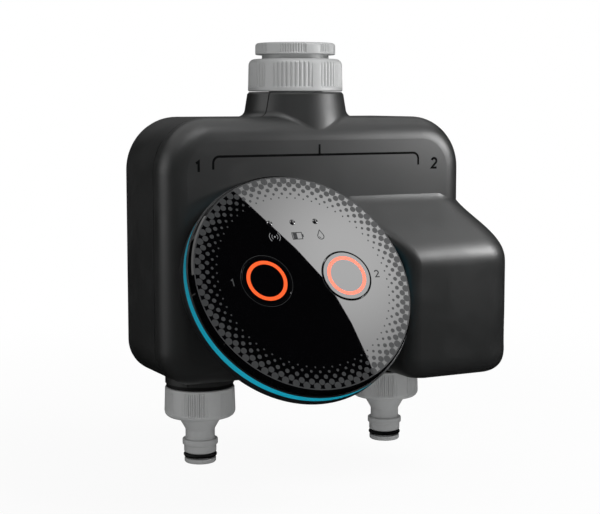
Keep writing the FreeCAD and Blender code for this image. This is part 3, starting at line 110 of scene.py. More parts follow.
class Texture(Enum):
    """Effects that several materials share, each a node group."""

    GRAIN = "moulded_grain"
    HANDLING = "handling_marks"
    DRAWN = "drawn_lines"


class EffectLibrary:
    """Builds each shared shader node group once."""

    def __init__(self) -> None:
        """Starts with no groups."""
        self._made: dict[Texture, bpy.types.NodeTree] = {}

    def get(self, kind: Texture) -> bpy.types.NodeTree:
        """Gives the group of an effect, made at its first use.

        Args:
            kind: The effect.

        Returns:
            The node group.
        """
        if kind not in self._made:
            builders = {
                Texture.GRAIN: self._grain,
                Texture.HANDLING: self._handling,
                Texture.DRAWN: self._drawn,
            }
            self._made[kind] = builders[kind]()
        return self._made[kind]

    @staticmethod
    def _tree(name: str, inputs: dict[str, float], outputs: Iterable[str]) -> bpy.types.NodeTree:
        """Makes an empty group with float sockets.

        Args:
            name: Name of the group.
            inputs: Name and first value of each input.
            outputs: Name of each output.

        Returns:
            The group, with its input and output nodes.
        """
        tree = bpy.data.node_groups.new(name, "ShaderNodeTree")
        for socket, value in inputs.items():
            made = tree.interface.new_socket(socket, in_out="INPUT", socket_type="NodeSocketFloat")
            made.default_value = value
        for socket in outputs:
            tree.interface.new_socket(socket, in_out="OUTPUT", socket_type="NodeSocketFloat")
        tree.nodes.new("NodeGroupInput")
        tree.nodes.new("NodeGroupOutput")
        return tree

    def _grain(self) -> bpy.types.NodeTree:
        """Fine eroded skin of a moulded plastic: height and a faint tone.

        Returns:
            The node group.
        """
        tree = self._tree(Texture.GRAIN.value, {"Grain mm": 0.5}, ("Height", "Tone"))
        net = Net(tree)
        place = net.node("ShaderNodeTexCoord")
        pitch = net.math("DIVIDE", 1000.0, net.inputs["Grain mm"])
        fine = net.node("ShaderNodeTexNoise", Detail=3.0, Roughness=0.6)
        coarse = net.node("ShaderNodeTexNoise", Detail=2.0, Roughness=0.5)
        for noise, share in ((fine, 1.0), (coarse, 0.35)):
            net.link(place.outputs["Object"], noise.inputs["Vector"])
            net.link(net.math("MULTIPLY", pitch, share), noise.inputs["Scale"])
        blend = net.math("ADD", net.math("MULTIPLY", fine.outputs["Fac"], 0.65),
                         net.math("MULTIPLY", coarse.outputs["Fac"], 0.35))
        net.link(blend, net.outputs["Height"])
        net.link(coarse.outputs["Fac"], net.outputs["Tone"])
        return tree

    def _handling(self) -> bpy.types.NodeTree:
        """Cloudy patches where hands have polished a surface, and thin dust on what faces up.

        Returns:
            The node group.
        """
        tree = self._tree(Texture.HANDLING.value, {"Patch mm": 22.0}, ("Polish", "Dust"))
        net = Net(tree)
        place = net.node("ShaderNodeTexCoord")
        size = net.math("DIVIDE", 1000.0, net.inputs["Patch mm"])
        patch = net.node("ShaderNodeTexNoise", Detail=4.0, Roughness=0.55, Distortion=0.4)
        speck = net.node("ShaderNodeTexNoise", Detail=5.0, Roughness=0.7)
        net.link(place.outputs["Object"], patch.inputs["Vector"])
        net.link(size, patch.inputs["Scale"])
        net.link(place.outputs["Object"], speck.inputs["Vector"])
        net.link(net.math("MULTIPLY", size, 9.0), speck.inputs["Scale"])
        net.link(net.ramp(patch.outputs["Fac"], 0.35, 0.68), net.outputs["Polish"])
        facing = net.node("ShaderNodeSeparateXYZ")
        net.link(net.node("ShaderNodeNewGeometry").outputs["Normal"], facing.inputs["Vector"])
        upward = net.ramp(facing.outputs["Z"], 0.55, 1.0)
        specks = net.ramp(speck.outputs["Fac"], 0.45, 0.8)
        net.link(net.math("MULTIPLY", upward, specks), net.outputs["Dust"])
        return tree

    def _drawn(self) -> bpy.types.NodeTree:
        """Fine lines round an upright axis, as on a turned or drawn metal.

        Returns:
            The node group.
        """
        tree = self._tree(Texture.DRAWN.value, {"Line mm": 0.3}, ("Height", "Tone"))
        net = Net(tree)
        place = net.node("ShaderNodeTexCoord")
        parts = net.node("ShaderNodeSeparateXYZ")
        net.link(place.outputs["Object"], parts.inputs["Vector"])
        flat = net.node("ShaderNodeCombineXYZ")
        net.link(net.math("MULTIPLY", parts.outputs["X"], 0.05), flat.inputs["X"])
        net.link(net.math("MULTIPLY", parts.outputs["Y"], 0.05), flat.inputs["Y"])
        net.link(parts.outputs["Z"], flat.inputs["Z"])
        noise = net.node("ShaderNodeTexNoise", Detail=3.0, Roughness=0.7)
        net.link(flat.outputs["Vector"], noise.inputs["Vector"])
        net.link(net.math("DIVIDE", 1000.0, net.inputs["Line mm"]), noise.inputs["Scale"])
        net.link(noise.outputs["Fac"], net.outputs["Height"])
        net.link(noise.outputs["Fac"], net.outputs["Tone"])
        return tree


class Net:
    """Short calls for laying out a node tree."""

    def __init__(self, tree: bpy.types.NodeTree) -> None:
        """Keeps the tree and the sockets of its group nodes, where it has them.

        Args:
            tree: A material's tree or a node group.
        """
        self.tree = tree
        entry = [node for node in tree.nodes if node.bl_idname == "NodeGroupInput"]
        leave = [node for node in tree.nodes if node.bl_idname == "NodeGroupOutput"]
        self.inputs = entry[0].outputs if entry else None
        self.outputs = leave[0].inputs if leave else None

    def node(self, kind: str, **values: float) -> bpy.types.Node:
        """Adds a node and sets inputs by name.

        Args:
            kind: Blender's name of the node type.
            **values: Input name and value.

        Returns:
            The node.
        """
        made = self.tree.nodes.new(kind)
        for name, value in values.items():
            made.inputs[name].default_value = value
        return made

    def link(self, source: bpy.types.NodeSocket, target: bpy.types.NodeSocket) -> None:
        """Joins two sockets."""
        self.tree.links.new(source, target)

    def math(self, operation: str, first: object, second: object = 0.0) -> bpy.types.NodeSocket:
        """Adds a math node on sockets or numbers.

        Args:
            operation: Blender's name of the operation.
            first: Socket or number.
            second: Socket or number.

        Returns:
            The result's socket.
        """
        made = self.tree.nodes.new("ShaderNodeMath")
        made.operation = operation
        for slot, value in zip(made.inputs, (first, second)):
            if isinstance(value, (int, float)):
                slot.default_value = value
            else:
                self.link(value, slot)
        return made.outputs[0]

    def ramp(self, value: bpy.types.NodeSocket, low: float, high: float,
             to_low: float = 0.0, to_high: float = 1.0) -> bpy.types.NodeSocket:
        """Maps a value from low..high smoothly to another range.

        Args:
            value: Socket to map.
            low: Value that gives to_low.
            high: Value that gives to_high.
            to_low: Result at low.
            to_high: Result at high.

        Returns:
            The result's socket.
        """
        made = self.tree.nodes.new("ShaderNodeMapRange")
        made.interpolation_type = "SMOOTHSTEP"
        limits = {"From Min": low, "From Max": high, "To Min": to_low, "To Max": to_high}
        for name, number in limits.items():
            made.inputs[name].default_value = number
        self.link(value, made.inputs["Value"])
        return made.outputs["Result"]

    def mix(self, share: bpy.types.NodeSocket, first: object, second: object) -> bpy.types.NodeSocket:
        """Mixes two colours by a mask.

        Args:
            share: Mask, 0 for the first colour.
            first: Socket or colour where the mask is 0.
            second: Socket or colour where the mask is 1.

        Returns:
            The colour's socket.
        """
        made = self.tree.nodes.new("ShaderNodeMix")
        made.data_type = "RGBA"
        self.link(share, made.inputs[MIX_FACTOR])
        for slot, colour in ((MIX_FIRST, first), (MIX_SECOND, second)):
            if isinstance(colour, tuple):
                made.inputs[slot].default_value = (*colour, 1.0)
            else:
                self.link(colour, made.inputs[slot])
        return made.outputs[MIX_RESULT]


def blank_material(name: str) -> tuple[bpy.types.Material, Net]:
    """Makes a material with Blender's first nodes.

    Args:
        name: Name of the material.

    Returns:
        The material and the net of its nodes.
    """
    made = bpy.data.materials.new(name)
    made.use_nodes = True
    return made, Net(made.node_tree)


def placed(name: str, data: bpy.types.ID) -> bpy.types.Object:
    """Puts a mesh, lamp or camera on the scene as a new object.

    Args:
        name: Name of the object.
        data: What it shows.

    Returns:
        The object.
    """
    made = bpy.data.objects.new(name, data)
    bpy.context.scene.collection.objects.link(made)
    return made



EFFECTS = EffectLibrary()
FINISHED: dict[str, bpy.types.Material] = {}


@dataclass(frozen=True)
class Finish:
    """A surface finish: two tones, a shine and a skin texture."""

    name: str
    tone: Colour
    patch_tone: Colour
    rough: float
    rough_patch: float
    metallic: float = 0.0
    shine: float = 0.5
    coat: float = 0.0
    grain_mm: float = 0.5
    grain_height_mm: float = 0.02
    patch_mm: float = 22.0
    dust: float = 0.0
    texture: Texture = Texture.GRAIN
    glow: float = 0.0

    def material(self) -> bpy.types.Material:
        """Builds the finish's material, or gives it again.

        Returns:
            The material.
        """
        if self.name in FINISHED:
            return FINISHED[self.name]
        made, net = blank_material(f"finish_{self.name}")
        FINISHED[self.name] = made
        shader = made.node_tree.nodes["Principled BSDF"]
        settings = {"Metallic": self.metallic, "Specular IOR Level": self.shine,
                    "Coat Weight": self.coat, "Coat Roughness": COAT_ROUGHNESS}
        if self.glow:
            settings.update({"Emission Color": (*self.tone, 1.0), "Emission Strength": self.glow})
        for name, value in settings.items():
            shader.inputs[name].default_value = value
        skin = net.node("ShaderNodeGroup")
        skin.node_tree = EFFECTS.get(self.texture)
        skin.inputs[0].default_value = self.grain_mm
        marks = net.node("ShaderNodeGroup")
        marks.node_tree = EFFECTS.get(Texture.HANDLING)
        marks.inputs["Patch mm"].default_value = self.patch_mm
        polish = marks.outputs["Polish"]
        shade = net.math("MULTIPLY", net.math("ADD", polish, skin.outputs["Tone"]), 0.5)
        colour = net.mix(shade, self.tone, self.patch_tone)
        if self.dust:
            colour = net.mix(net.math("MULTIPLY", marks.outputs["Dust"], self.dust), colour, DUST_TONE)
        net.link(colour, shader.inputs["Base Color"])
        rough = net.ramp(polish, 0.0, 1.0, self.rough, self.rough_patch)
        net.link(rough, shader.inputs["Roughness"])
        if self.grain_height_mm:
            bump = net.node("ShaderNodeBump", Strength=1.0, Distance=self.grain_height_mm * MM)
            net.link(skin.outputs["Height"], bump.inputs["Height"])
            net.link(bump.outputs["Normal"], shader.inputs["Normal"])
        return made


SHELL = Finish("charcoal_shell", screen(31, 32, 32), screen(34, 35, 35), 0.42, 0.48, shine=0.6,
               grain_mm=0.45, grain_height_mm=0.012, dust=0.015)
FITTING = Finish("grey_fitting", screen(174, 175, 175), screen(179, 180, 180), 0.42, 0.5,
                 grain_mm=0.4, grain_height_mm=0.012)
CONNECTOR = Finish("grey_connector", screen(170, 171, 171), screen(175, 176, 176), 0.4, 0.48,
                   grain_mm=0.4, grain_height_mm=0.012)
FACE = Finish("black_face", screen(4, 4, 5), screen(5, 5, 6), 0.008, 0.012, coat=1.0,
              grain_height_mm=0.0, patch_mm=40.0)
DOTS = Finish("dot_print", screen(50, 51, 52), screen(54, 55, 56), 0.6, 0.66, shine=0.1, coat=0.28,
              grain_height_mm=0.0)
PRINT = Finish("pale_print", screen(124, 125, 126), screen(128, 129, 130), 0.6, 0.66, shine=0.1,
               grain_height_mm=0.0)
# Dim grey print of the battery, drop and numerals; the same grey also paints a highlight circle round each
# button's hole.
DIM_INK_AND_GAP_HIGHLIGHT = Finish("dim_ink_and_gap_highlight", screen(56, 57, 58), screen(60, 61, 62), 0.6, 0.66, shine=0.1,
                   grain_height_mm=0.0)
# Black ink used as painted shade: the dark gap round each button.
GAP_SHADE_INK = Finish("painted_gap_shade", screen(3, 3, 4), screen(4, 4, 5), 0.6, 0.66, shine=0.02,
                    grain_height_mm=0.0)
FRONT_INK = Finish("black_print", screen(4, 4, 5), screen(5, 5, 6), 0.6, 0.66, shine=0.04,
                   grain_height_mm=0.0)
RIM = Finish("dark_rim", screen(22, 24, 26), screen(26, 28, 30), 0.42, 0.5, shine=0.35)
ACCENT = Finish("cyan_accent", screen(0, 176, 206), screen(2, 182, 212), 0.34, 0.4, shine=0.4,
                grain_height_mm=0.006)
LIGHT = Finish("orange_light_ring", screen(246, 84, 18), screen(250, 90, 22), 0.35, 0.4, shine=0.2,
               coat=1.0, grain_height_mm=0.0, glow=0.25)
LENS = Finish("lamp_lens", screen(12, 12, 14), screen(16, 16, 18), 0.05, 0.08, coat=1.0,
              grain_height_mm=0.0)
RUBBER = Finish("black_rubber", screen(8, 8, 9), screen(11, 11, 12), 0.6, 0.7, shine=0.25,
                grain_mm=0.3, grain_height_mm=0.01)
BOARD = Finish("solder_mask", screen(18, 92, 52), screen(24, 104, 60), 0.3, 0.38, grain_mm=1.5,
               grain_height_mm=0.01)
INNER = Finish("pale_moulding", screen(176, 178, 176), screen(184, 186, 184), 0.45, 0.5)
COIL = Finish("coil_tape", screen(176, 128, 30), screen(188, 138, 38), 0.3, 0.4,
              texture=Texture.DRAWN, grain_mm=0.4)
STEEL = Finish("bright_steel", (0.55, 0.56, 0.57), (0.62, 0.63, 0.64), 0.24, 0.34, metallic=1.0,
               texture=Texture.DRAWN, grain_mm=0.25, grain_height_mm=0.006)
SHIELD = Finish("shield_steel", (0.68, 0.68, 0.69), (0.74, 0.74, 0.75), 0.3, 0.36, metallic=1.0,
                grain_height_mm=0.004)
CELL = Finish("cell_wrap", screen(60, 96, 140), screen(66, 104, 150), 0.3, 0.36, grain_height_mm=0.004)
LED = Finish("led_body", screen(226, 226, 214), screen(232, 232, 222), 0.4, 0.46, grain_height_mm=0.0)

NODE_FINISH: dict[str, Finish] = {
    "inlet_adapter": FITTING, "tap_washer": RUBBER, "union_nut": FITTING, "union_nut_ring": STEEL,
    "union_washer": RUBBER, "filter_sieve": INNER, "valve_block": INNER, "battery_door": SHELL,
    "door_hinge_pin": STEEL, "front_shell": SHELL, "rear_shell": SHELL, "housing_screws": STEEL,
    "shell_seal": RUBBER, "battery_tray": RIM, "battery_cells": CELL, "tray_contacts": STEEL,
    "door_contacts": STEEL, "door_gasket": RUBBER, "door_latch_screw": RIM, "face_cover": FACE,
    "status_lamps": LENS, "button_1": FACE, "button_2": FACE, "button_light_1": LIGHT,
    "button_light_2": LIGHT, "accent_ring": ACCENT, "control_housing": RIM, "control_gasket": RUBBER,
    "circuit_board": BOARD, "board_screws": STEEL, "control_screws": STEEL, "push_switches": RIM,
    "radio_module": SHIELD, "status_leds": LED,
}
SIDE_FINISH: dict[str, Finish] = {
    "diaphragm": RUBBER, "valve_bonnet": INNER, "solenoid_coil": COIL, "plunger": STEEL,
    "plunger_spring": STEEL, "outlet_collar": RUBBER, "hose_connector": CONNECTOR,
    "connector_washer": RUBBER, "connector_seal": RUBBER,
}
for outlet in Side:
    NODE_FINISH.update({f"{outlet.hand}_{part}": finish for part, finish in SIDE_FINISH.items()})


def dress_nodes(nodes: dict[str, bpy.types.Object]) -> None:
    """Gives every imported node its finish.

    Args:
        nodes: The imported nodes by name.
    """
    for name, node in nodes.items():
        finish = NODE_FINISH[name]
        node.data.materials.clear()
        node.data.materials.append(finish.material())
        log.info("dressed %s with %s", name, finish.name)


class MeshPiece:
    """A new piece of the object, made point by point in millimetres."""

    def __init__(self, name: str, body: str, slot: str, finish: Finish) -> None:
        """Keeps what the piece is called, rides on and is finished in.

        Args:
            name: Name of the piece.
            body: Body that it moves with.
            slot: Material slot name; stored, but nothing uses it.
            finish: Its finish.
        """
        self.name = name
        self.body = body
        self.slot = slot
        self.finish = finish
        self.points: list[tuple[float, float, float]] = []
        self.faces: list[tuple[int, ...]] = []

    def add(self, points: Iterable[Vector], faces: Iterable[Sequence[int]]) -> None:
        """Adds a patch; its faces count its own points from 0.

        Args:
            points: Points of the patch.
            faces: Rows of point numbers.
        """
        start = len(self.points)
        self.points.extend(tuple(point) for point in points)
        self.faces.extend(tuple(start + index for index in face) for face in faces)

    def finish_up(self, *stands_for: str, crease: Optional[float] = 40.0) -> bpy.types.Object:
        """Makes the object, dresses it and ties it to its body.

        Args:
            *stands_for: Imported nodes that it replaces.
            crease: Angle in degrees over which an edge stays sharp, or None for flat faces.

        Returns:
            The object.
        """
        mesh = bpy.data.meshes.new(self.name)
        mesh.from_pydata([Vector(point) * MM for point in self.points], [], self.faces)
        if crease is not None:
            mesh.shade_smooth()
            mesh.set_sharp_from_angle(angle=math.radians(crease))
        mesh.materials.append(self.finish.material())
        made = placed(self.name, mesh)
        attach(made, self.body)
        if stands_for:
            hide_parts(*stands_for)
        log.info("built %s, %d faces, on %s", self.name, len(self.faces), self.body)
        return made


@dataclass
class FacePlane:
    """The tilted control face's own axes: u to the right, v up along it, w out of it."""

    x: float = -25.4
    top_y: float = -31.02
    top_z: float = -63.83
    tilt: float = 31.8
    radius: float = 54.8

    def point(self, u: float, v: float, w: float = 0.0) -> Vector:
        """Gives a place of the face in the object's frame.

        Args:
            u: To the right of the middle.
            v: Up along the face from the middle.
            w: Out of the face.

        Returns:
            The point in millimetres.
        """
        lean = math.radians(self.tilt)
        along = Vector((0.0, math.sin(lean), math.cos(lean)))
        out = Vector((0.0, -math.cos(lean), math.sin(lean)))
        middle = Vector((self.x, self.top_y, self.top_z)) - along * self.radius
        return middle + Vector((u, 0.0, 0.0)) + along * v + out * w


def polar(reach: float, turn: float) -> Point:
    """Gives the place at a distance and an angle in radians."""
    return reach * math.cos(turn), reach * math.sin(turn)


def quads(rings: int, count: int, closed: bool = True) -> list[tuple[int, ...]]:
    """Lays faces between rings of points that are numbered one ring after another.

    Args:
        rings: How many rings there are.
        count: Points of each ring.
        closed: Whether the last ring joins the first.

    Returns:
        The point numbers of each face.
    """
    faces: list[tuple[int, ...]] = []
    for i in range(rings if closed else rings - 1):
        here, after = i * count, (i + 1) % rings * count
        for j in range(count):
            on = (j + 1) % count
            faces.append((here + j, here + on, after + on, after + j))
    return faces


def disc(piece: MeshPiece, place: Place, u: float, v: float, radius: float, lift: float,
         sides: int = 14) -> None:
    """Adds a thin round dot.

    Args:
        piece: Piece to add to.
        place: Gives the object's point for flat coordinates.
        u: Middle.
        v: Middle.
        radius: Radius of the dot.
        lift: Height above the surface.
        sides: Corners of the dot.
    """
    piece.add([place(*at, lift) for at in arc(u, v, radius, 0.0, 360.0, sides)[:-1]], [range(sides)])


def band(piece: MeshPiece, place: Place, line: Sequence[Point], width: float, lift: float,
         closed: bool = False) -> None:
    """Adds a thin printed line along a path.

    Args:
        piece: Piece to add to.
        place: Gives the object's point for flat coordinates.
        line: Points of the path.
        width: Width of the line.
        lift: Height above the surface.
        closed: Whether the path ends where it starts.
    """
    count = len(line)
    rails: list[Vector] = []
    for i, (u, v) in enumerate(line):
        before = Vector(line[(i - 1) % count] if closed or i else line[i])
        after = Vector(line[(i + 1) % count] if closed or i < count - 1 else line[i])
        here = Vector((u, v))
        into = (here - before).normalized() if (here - before).length else (after - here).normalized()
        out = (after - here).normalized() if (after - here).length else into
        side = Vector((-(into + out).y, (into + out).x)).normalized()
        reach = width / 2 / max(0.5, side.dot(Vector((-out.y, out.x))))
        for sign in (1, -1):
            rails.append(place(u + side.x * reach * sign, v + side.y * reach * sign, lift))
    last = count if closed else count - 1
    around = 2 * count
    faces = [(2 * i, 2 * i + 1, (2 * i + 3) % around, (2 * i + 2) % around) for i in range(last)]
    piece.add(rails, faces)


def arc(u: float, v: float, radius: float, start: float, end: float, steps: int = 12) -> list[Point]:
    """Gives points of an arc, its angles in degrees."""
    turns = [math.radians(start + (end - start) * i / steps) for i in range(steps + 1)]
    return [(u + radius * math.cos(turn), v + radius * math.sin(turn)) for turn in turns]


def circle(u: float, v: float, radius: float, steps: int = 96) -> list[Point]:
    """Gives points of a full circle."""
    return arc(u, v, radius, 0.0, 360.0, steps)[:-1]


def numeral(number: int, u: float, v: float, height: float) -> list[list[Point]]:
    """Strokes of a plain 1 or 2 round a middle.

    Args:
        number: 1 or 2.
        u: Middle.
        v: Middle.
        height: Height of the numeral.

    Returns:
        Paths of its strokes.
    """
    half = height / 2
    if number == 1:
        stem = u + 0.05 * height
        return [[(u - 0.22 * height, v + half * 0.62), (stem, v + half), (stem, v - half)]]
    bowl = arc(u, v + half - 0.29 * height, 0.29 * height, 165, -38, 12)
    return [bowl + [(u - 0.3 * height, v - half), (u + 0.32 * height, v - half)]]


@dataclass
class FacePrint:
    """Printing on the control face: rows of dots, three drawings and two numerals, and the lamps' lenses."""

    plane: FacePlane = field(default_factory=FacePlane)
    lift: float = 0.025
    layer: float = 0.004
    dots_per_row: int = 64
    rows: tuple[Point, ...] = ((52.2, 1.72), (50.15, 1.44), (47.6, 1.04), (45.2, 0.67), (43.1, 0.42))
    rim: Point = (53.35, 53.95)
    rim_sides: int = 256
    stroke: float = 0.4
    fine_stroke: float = 0.32
    lamp_places: Triple = (-10.45, 1.5, 13.45)
    lamp_height: float = 29.9
    drawing_right: float = 1.0
    drawing_up: float = 22.8
    radio_dot: float = 0.48
    wave_reaches: Point = (1.5, 2.75)
    wave_angle: float = 48.0
    battery_left: float = 2.8
    battery_right: float = 2.2
    battery_half: float = 1.7
    knob_gap: float = 0.5
    knob_half: float = 0.8
    knob_stroke: float = 0.6
    charge_left: float = 1.45
    charge_gap: float = 0.1
    charge_stroke: float = 2.0
    drop_tip: float = 2.5
    drop_middle: float = -0.75
    drop_radius: float = 1.6
    gleam_radius: float = 0.85
    numeral_places: Point = (-36.0, 38.5)
    numeral_up: float = 1.0
    numeral_height: float = 3.3
    numeral_stroke: float = 0.62
    controls_right: float = 1.5
    button_reach: float = 20.65
    button_up: float = 0.9
    button_proud: float = 0.3
    gap_shade_radius: float = 12.03
    gap_shade_width: float = 0.3
    gap_highlight_offset: float = 0.75
    gap_highlight_width: float = 0.13
    lens_radius: float = 1.45
    lens_foot: float = 0.02
    lens_height: float = 0.4
    lens_sides: int = 24
    lens_rings: int = 6

    def build(self) -> None:
        """Makes the dots, drawings and lenses."""
        self._dots()
        self._drawings()
        self._lenses()

    def _dots(self) -> None:
        """Makes the dot rows, which grow and merge towards the rim, and the rim's ring."""
        piece = MeshPiece("face_dots", "casing", "face_black", DOTS)
        step = math.tau / self.dots_per_row
        for row, (reach, radius) in enumerate(self.rows):
            for i in range(self.dots_per_row):
                turn = step * (i + 0.5 * (row % 2 == 0))
                disc(piece, self.plane.point, *polar(reach, turn), radius, self.lift + self.layer * (i % 2))
        sides = self.rim_sides
        ring = [self.plane.point(*polar(reach, math.tau * i / sides), self.lift + 2 * self.layer)
                for reach in self.rim for i in range(sides)]
        piece.add(ring, quads(2, sides, closed=False))
        piece.finish_up(crease=None)

    def _drawings(self) -> None:
        """Makes the radio, battery and drop drawings, the numerals, and the painted shade and painted highlight
        round the buttons.
        """
        radio_u, battery_u, drop_u = (place + self.drawing_right for place in self.lamp_places)
        waves = MeshPiece("radio_drawing", "casing", "face_black", PRINT)
        self._radio(waves, radio_u)
        waves.finish_up(crease=None)
        piece = MeshPiece("face_print_and_gap_highlights", "casing", "face_black", DIM_INK_AND_GAP_HIGHLIGHT)
        self._battery(piece, battery_u)
        self._drop(piece, drop_u)
        for side, u in zip(Side, self.numeral_places):
            for path in numeral(side.number, u, self.numeral_up, self.numeral_height):
                band(piece, self.plane.point, path, self.numeral_stroke, self.lift)
        for side in Side:
            self._button_gap_shade_and_highlight(piece, side)
        piece.finish_up(crease=None)

    def _radio(self, piece: MeshPiece, u: float) -> None:
        """Draws a dot with two waves on each side.

        Args:
            piece: Piece to add to.
            u: Middle of the drawing.
        """
        disc(piece, self.plane.point, u, self.drawing_up, self.radio_dot, self.lift)
        for reach in self.wave_reaches:
            for turn in (0, 180):
                wave = arc(u, self.drawing_up, reach, turn - self.wave_angle, turn + self.wave_angle, 10)
                band(piece, self.plane.point, wave, self.fine_stroke, self.lift)

    def _battery(self, piece: MeshPiece, u: float) -> None:
        """Draws a battery with its knob and a part of its charge.

        Args:
            piece: Piece to add to.
            u: Middle of the drawing.
        """
        draw, v = self.plane.point, self.drawing_up
        left, right = u - self.battery_left, u + self.battery_right
        low, top = v - self.battery_half, v + self.battery_half
        case = [(left, low), (right, low), (right, top), (left, top)]
        knob, charge = right + self.knob_gap, left + self.charge_left
        band(piece, draw, case, self.stroke, self.lift, closed=True)
        band(piece, draw, [(knob, v - self.knob_half), (knob, v + self.knob_half)], self.knob_stroke, self.lift)
        band(piece, draw, [(charge, low + self.charge_gap), (charge, top - self.charge_gap)],
             self.charge_stroke, self.lift)

    def _drop(self, piece: MeshPiece, u: float) -> None:
        """Draws a drop of water with its gleam.

        Args:
            piece: Piece to add to.
            u: Middle of the drawing.
        """
        middle = self.drawing_up + self.drop_middle
        edge = [(u, self.drawing_up + self.drop_tip)] + arc(u, middle, self.drop_radius, 150, 390, 20)
        band(piece, self.plane.point, edge, self.stroke, self.lift, closed=True)
        gleam = arc(u, middle, self.gleam_radius, 190, 265, 8)
        band(piece, self.plane.point, gleam, self.fine_stroke, self.lift)

    def _button_gap_shade_and_highlight(self, piece: MeshPiece, side: Side) -> None:
        """Draws a fine grey circle round a button on the face, a painted highlight for the lit edge of the
        button's hole, and a black line on the button itself, painted shade for the dark gap round the button.

        Args:
            piece: Piece to add the circle to.
            side: Side of the button.
        """
        u = self.controls_right + side.value * self.button_reach
        # Fine grey circle just outside the button's hole: painted highlight standing in for the lit rounded
        # edge of the hole.
        around = circle(u, self.button_up, self.gap_shade_radius + self.gap_highlight_offset)
        band(piece, self.plane.point, around, self.gap_highlight_width, self.lift, closed=True)
        body = f"button_{side.number}"
        # Black line on the button's edge: painted shade standing in for the dark gap between the button and the
        # face.
        painted_gap_shade = MeshPiece(f"{body}_outline", body, "face_black", GAP_SHADE_INK)
        band(painted_gap_shade, self.plane.point, circle(u, self.button_up, self.gap_shade_radius), self.gap_shade_width,
             self.button_proud + self.lift, closed=True)
        painted_gap_shade.finish_up(crease=None)

    def _lenses(self) -> None:
        """Makes the low domes over the status lamps."""
        piece = MeshPiece("lamp_lenses", "casing", "lamp_clear", LENS)
        sides = self.lens_sides
        for u in self.lamp_places:
            points = [self.plane.point(u, self.lamp_height, self.lens_foot + self.lens_height)]
            for ring in range(1, self.lens_rings + 1):
                bend = math.radians(90.0 * ring / self.lens_rings)
                lift = self.lens_foot + self.lens_height * math.cos(bend)
                reach = self.lens_radius * math.sin(bend)
                edge = arc(u, self.lamp_height, reach, 0.0, 360.0, sides)[:-1]
                points.extend(self.plane.point(*at, lift) for at in edge)
            faces: list[tuple[int, ...]] = [(0, 1 + i, 1 + (i + 1) % sides) for i in range(sides)]
            for start in range(1, 1 + (self.lens_rings - 1) * sides, sides):
                for i in range(sides):
                    after = (i + 1) % sides
                    faces.append((start + i, start + sides + i, start + sides + after, start + after))
            piece.add(points, faces)
        piece.finish_up()


@dataclass
class HousingBands:
    """Two dark bands that leave a narrow strip of the coloured ring open, under the face."""

    plane: FacePlane = field(default_factory=FacePlane)
    radius: float = 55.98
    inner: float = 55.3
    face_foot: float = -3.95
    strip_top: float = -4.8
    strip_foot: float = -8.75
    band_foot: float = -12.9
    sides: int = 256

    def build(self) -> None:
        """Makes the band above the strip and the one under it."""
        self._band("face_skirt_band", self.face_foot, self.strip_top)
        self._band("housing_band", self.strip_foot, self.band_foot)

    def _band(self, name: str, top: float, foot: float) -> None:
        """Makes one closed band round the face's axis.

        Args:
            name: Name of the piece.
            top: Its upper edge, out of the face.
            foot: Its lower edge.
        """
        painted_gap_shade = rounded([
            (self.inner, top, 0.0), (self.radius, top, 0.2),
            (self.radius, foot, 0.2), (self.inner, foot, 0.0),
        ], 3)
        piece = MeshPiece(name, "casing", "rim_black", RIM)
        points = [self.plane.point(*polar(r, math.tau * i / self.sides), w)
                  for i in range(self.sides) for r, w in painted_gap_shade]
        piece.add(points, quads(self.sides, len(painted_gap_shade)))
        piece.finish_up()


@dataclass
class FrontPrint:
    """Printing on the casing's upright front: a numeral on each side and a bracket between them."""

    front: float = -28.0
    left: float = -57.0
    right: float = 55.0
    top: float = -54.3
    ends: float = -60.3
    tick: float = -49.3
    corner: float = 3.0
    stroke: float = 1.1
    lift: float = 0.03
    numeral_places: tuple[Point, Point] = ((-64.6, -58.8), (64.4, -59.6))
    numeral_height: float = 4.8
    numeral_stroke: float = 1.2

    def _place(self, x: float, z: float, lift: float) -> Vector:
        """Gives a point on the front face."""
        return Vector((x, self.front - lift, z))

    def build(self) -> None:
        """Makes the bracket and the numerals."""
        piece = MeshPiece("front_print", "casing", "rim_black", FRONT_INK)
        low = self.top - self.corner
        path = [(self.left, self.ends)]
        path += arc(self.left + self.corner, low, self.corner, 180, 90, 8)
        path += arc(self.right - self.corner, low, self.corner, 90, 0, 8)
        path.append((self.right, self.ends))
        band(piece, self._place, path, self.stroke, self.lift)
        middle = (self.left + self.right) / 2
        band(piece, self._place, [(middle, self.top), (middle, self.tick)], self.stroke, self.lift)
        for side, (x, z) in zip(Side, self.numeral_places):
            for stroke in numeral(side.number, x, z, self.numeral_height):
                band(piece, self._place, stroke, self.numeral_stroke, self.lift)
        piece.finish_up(crease=None)


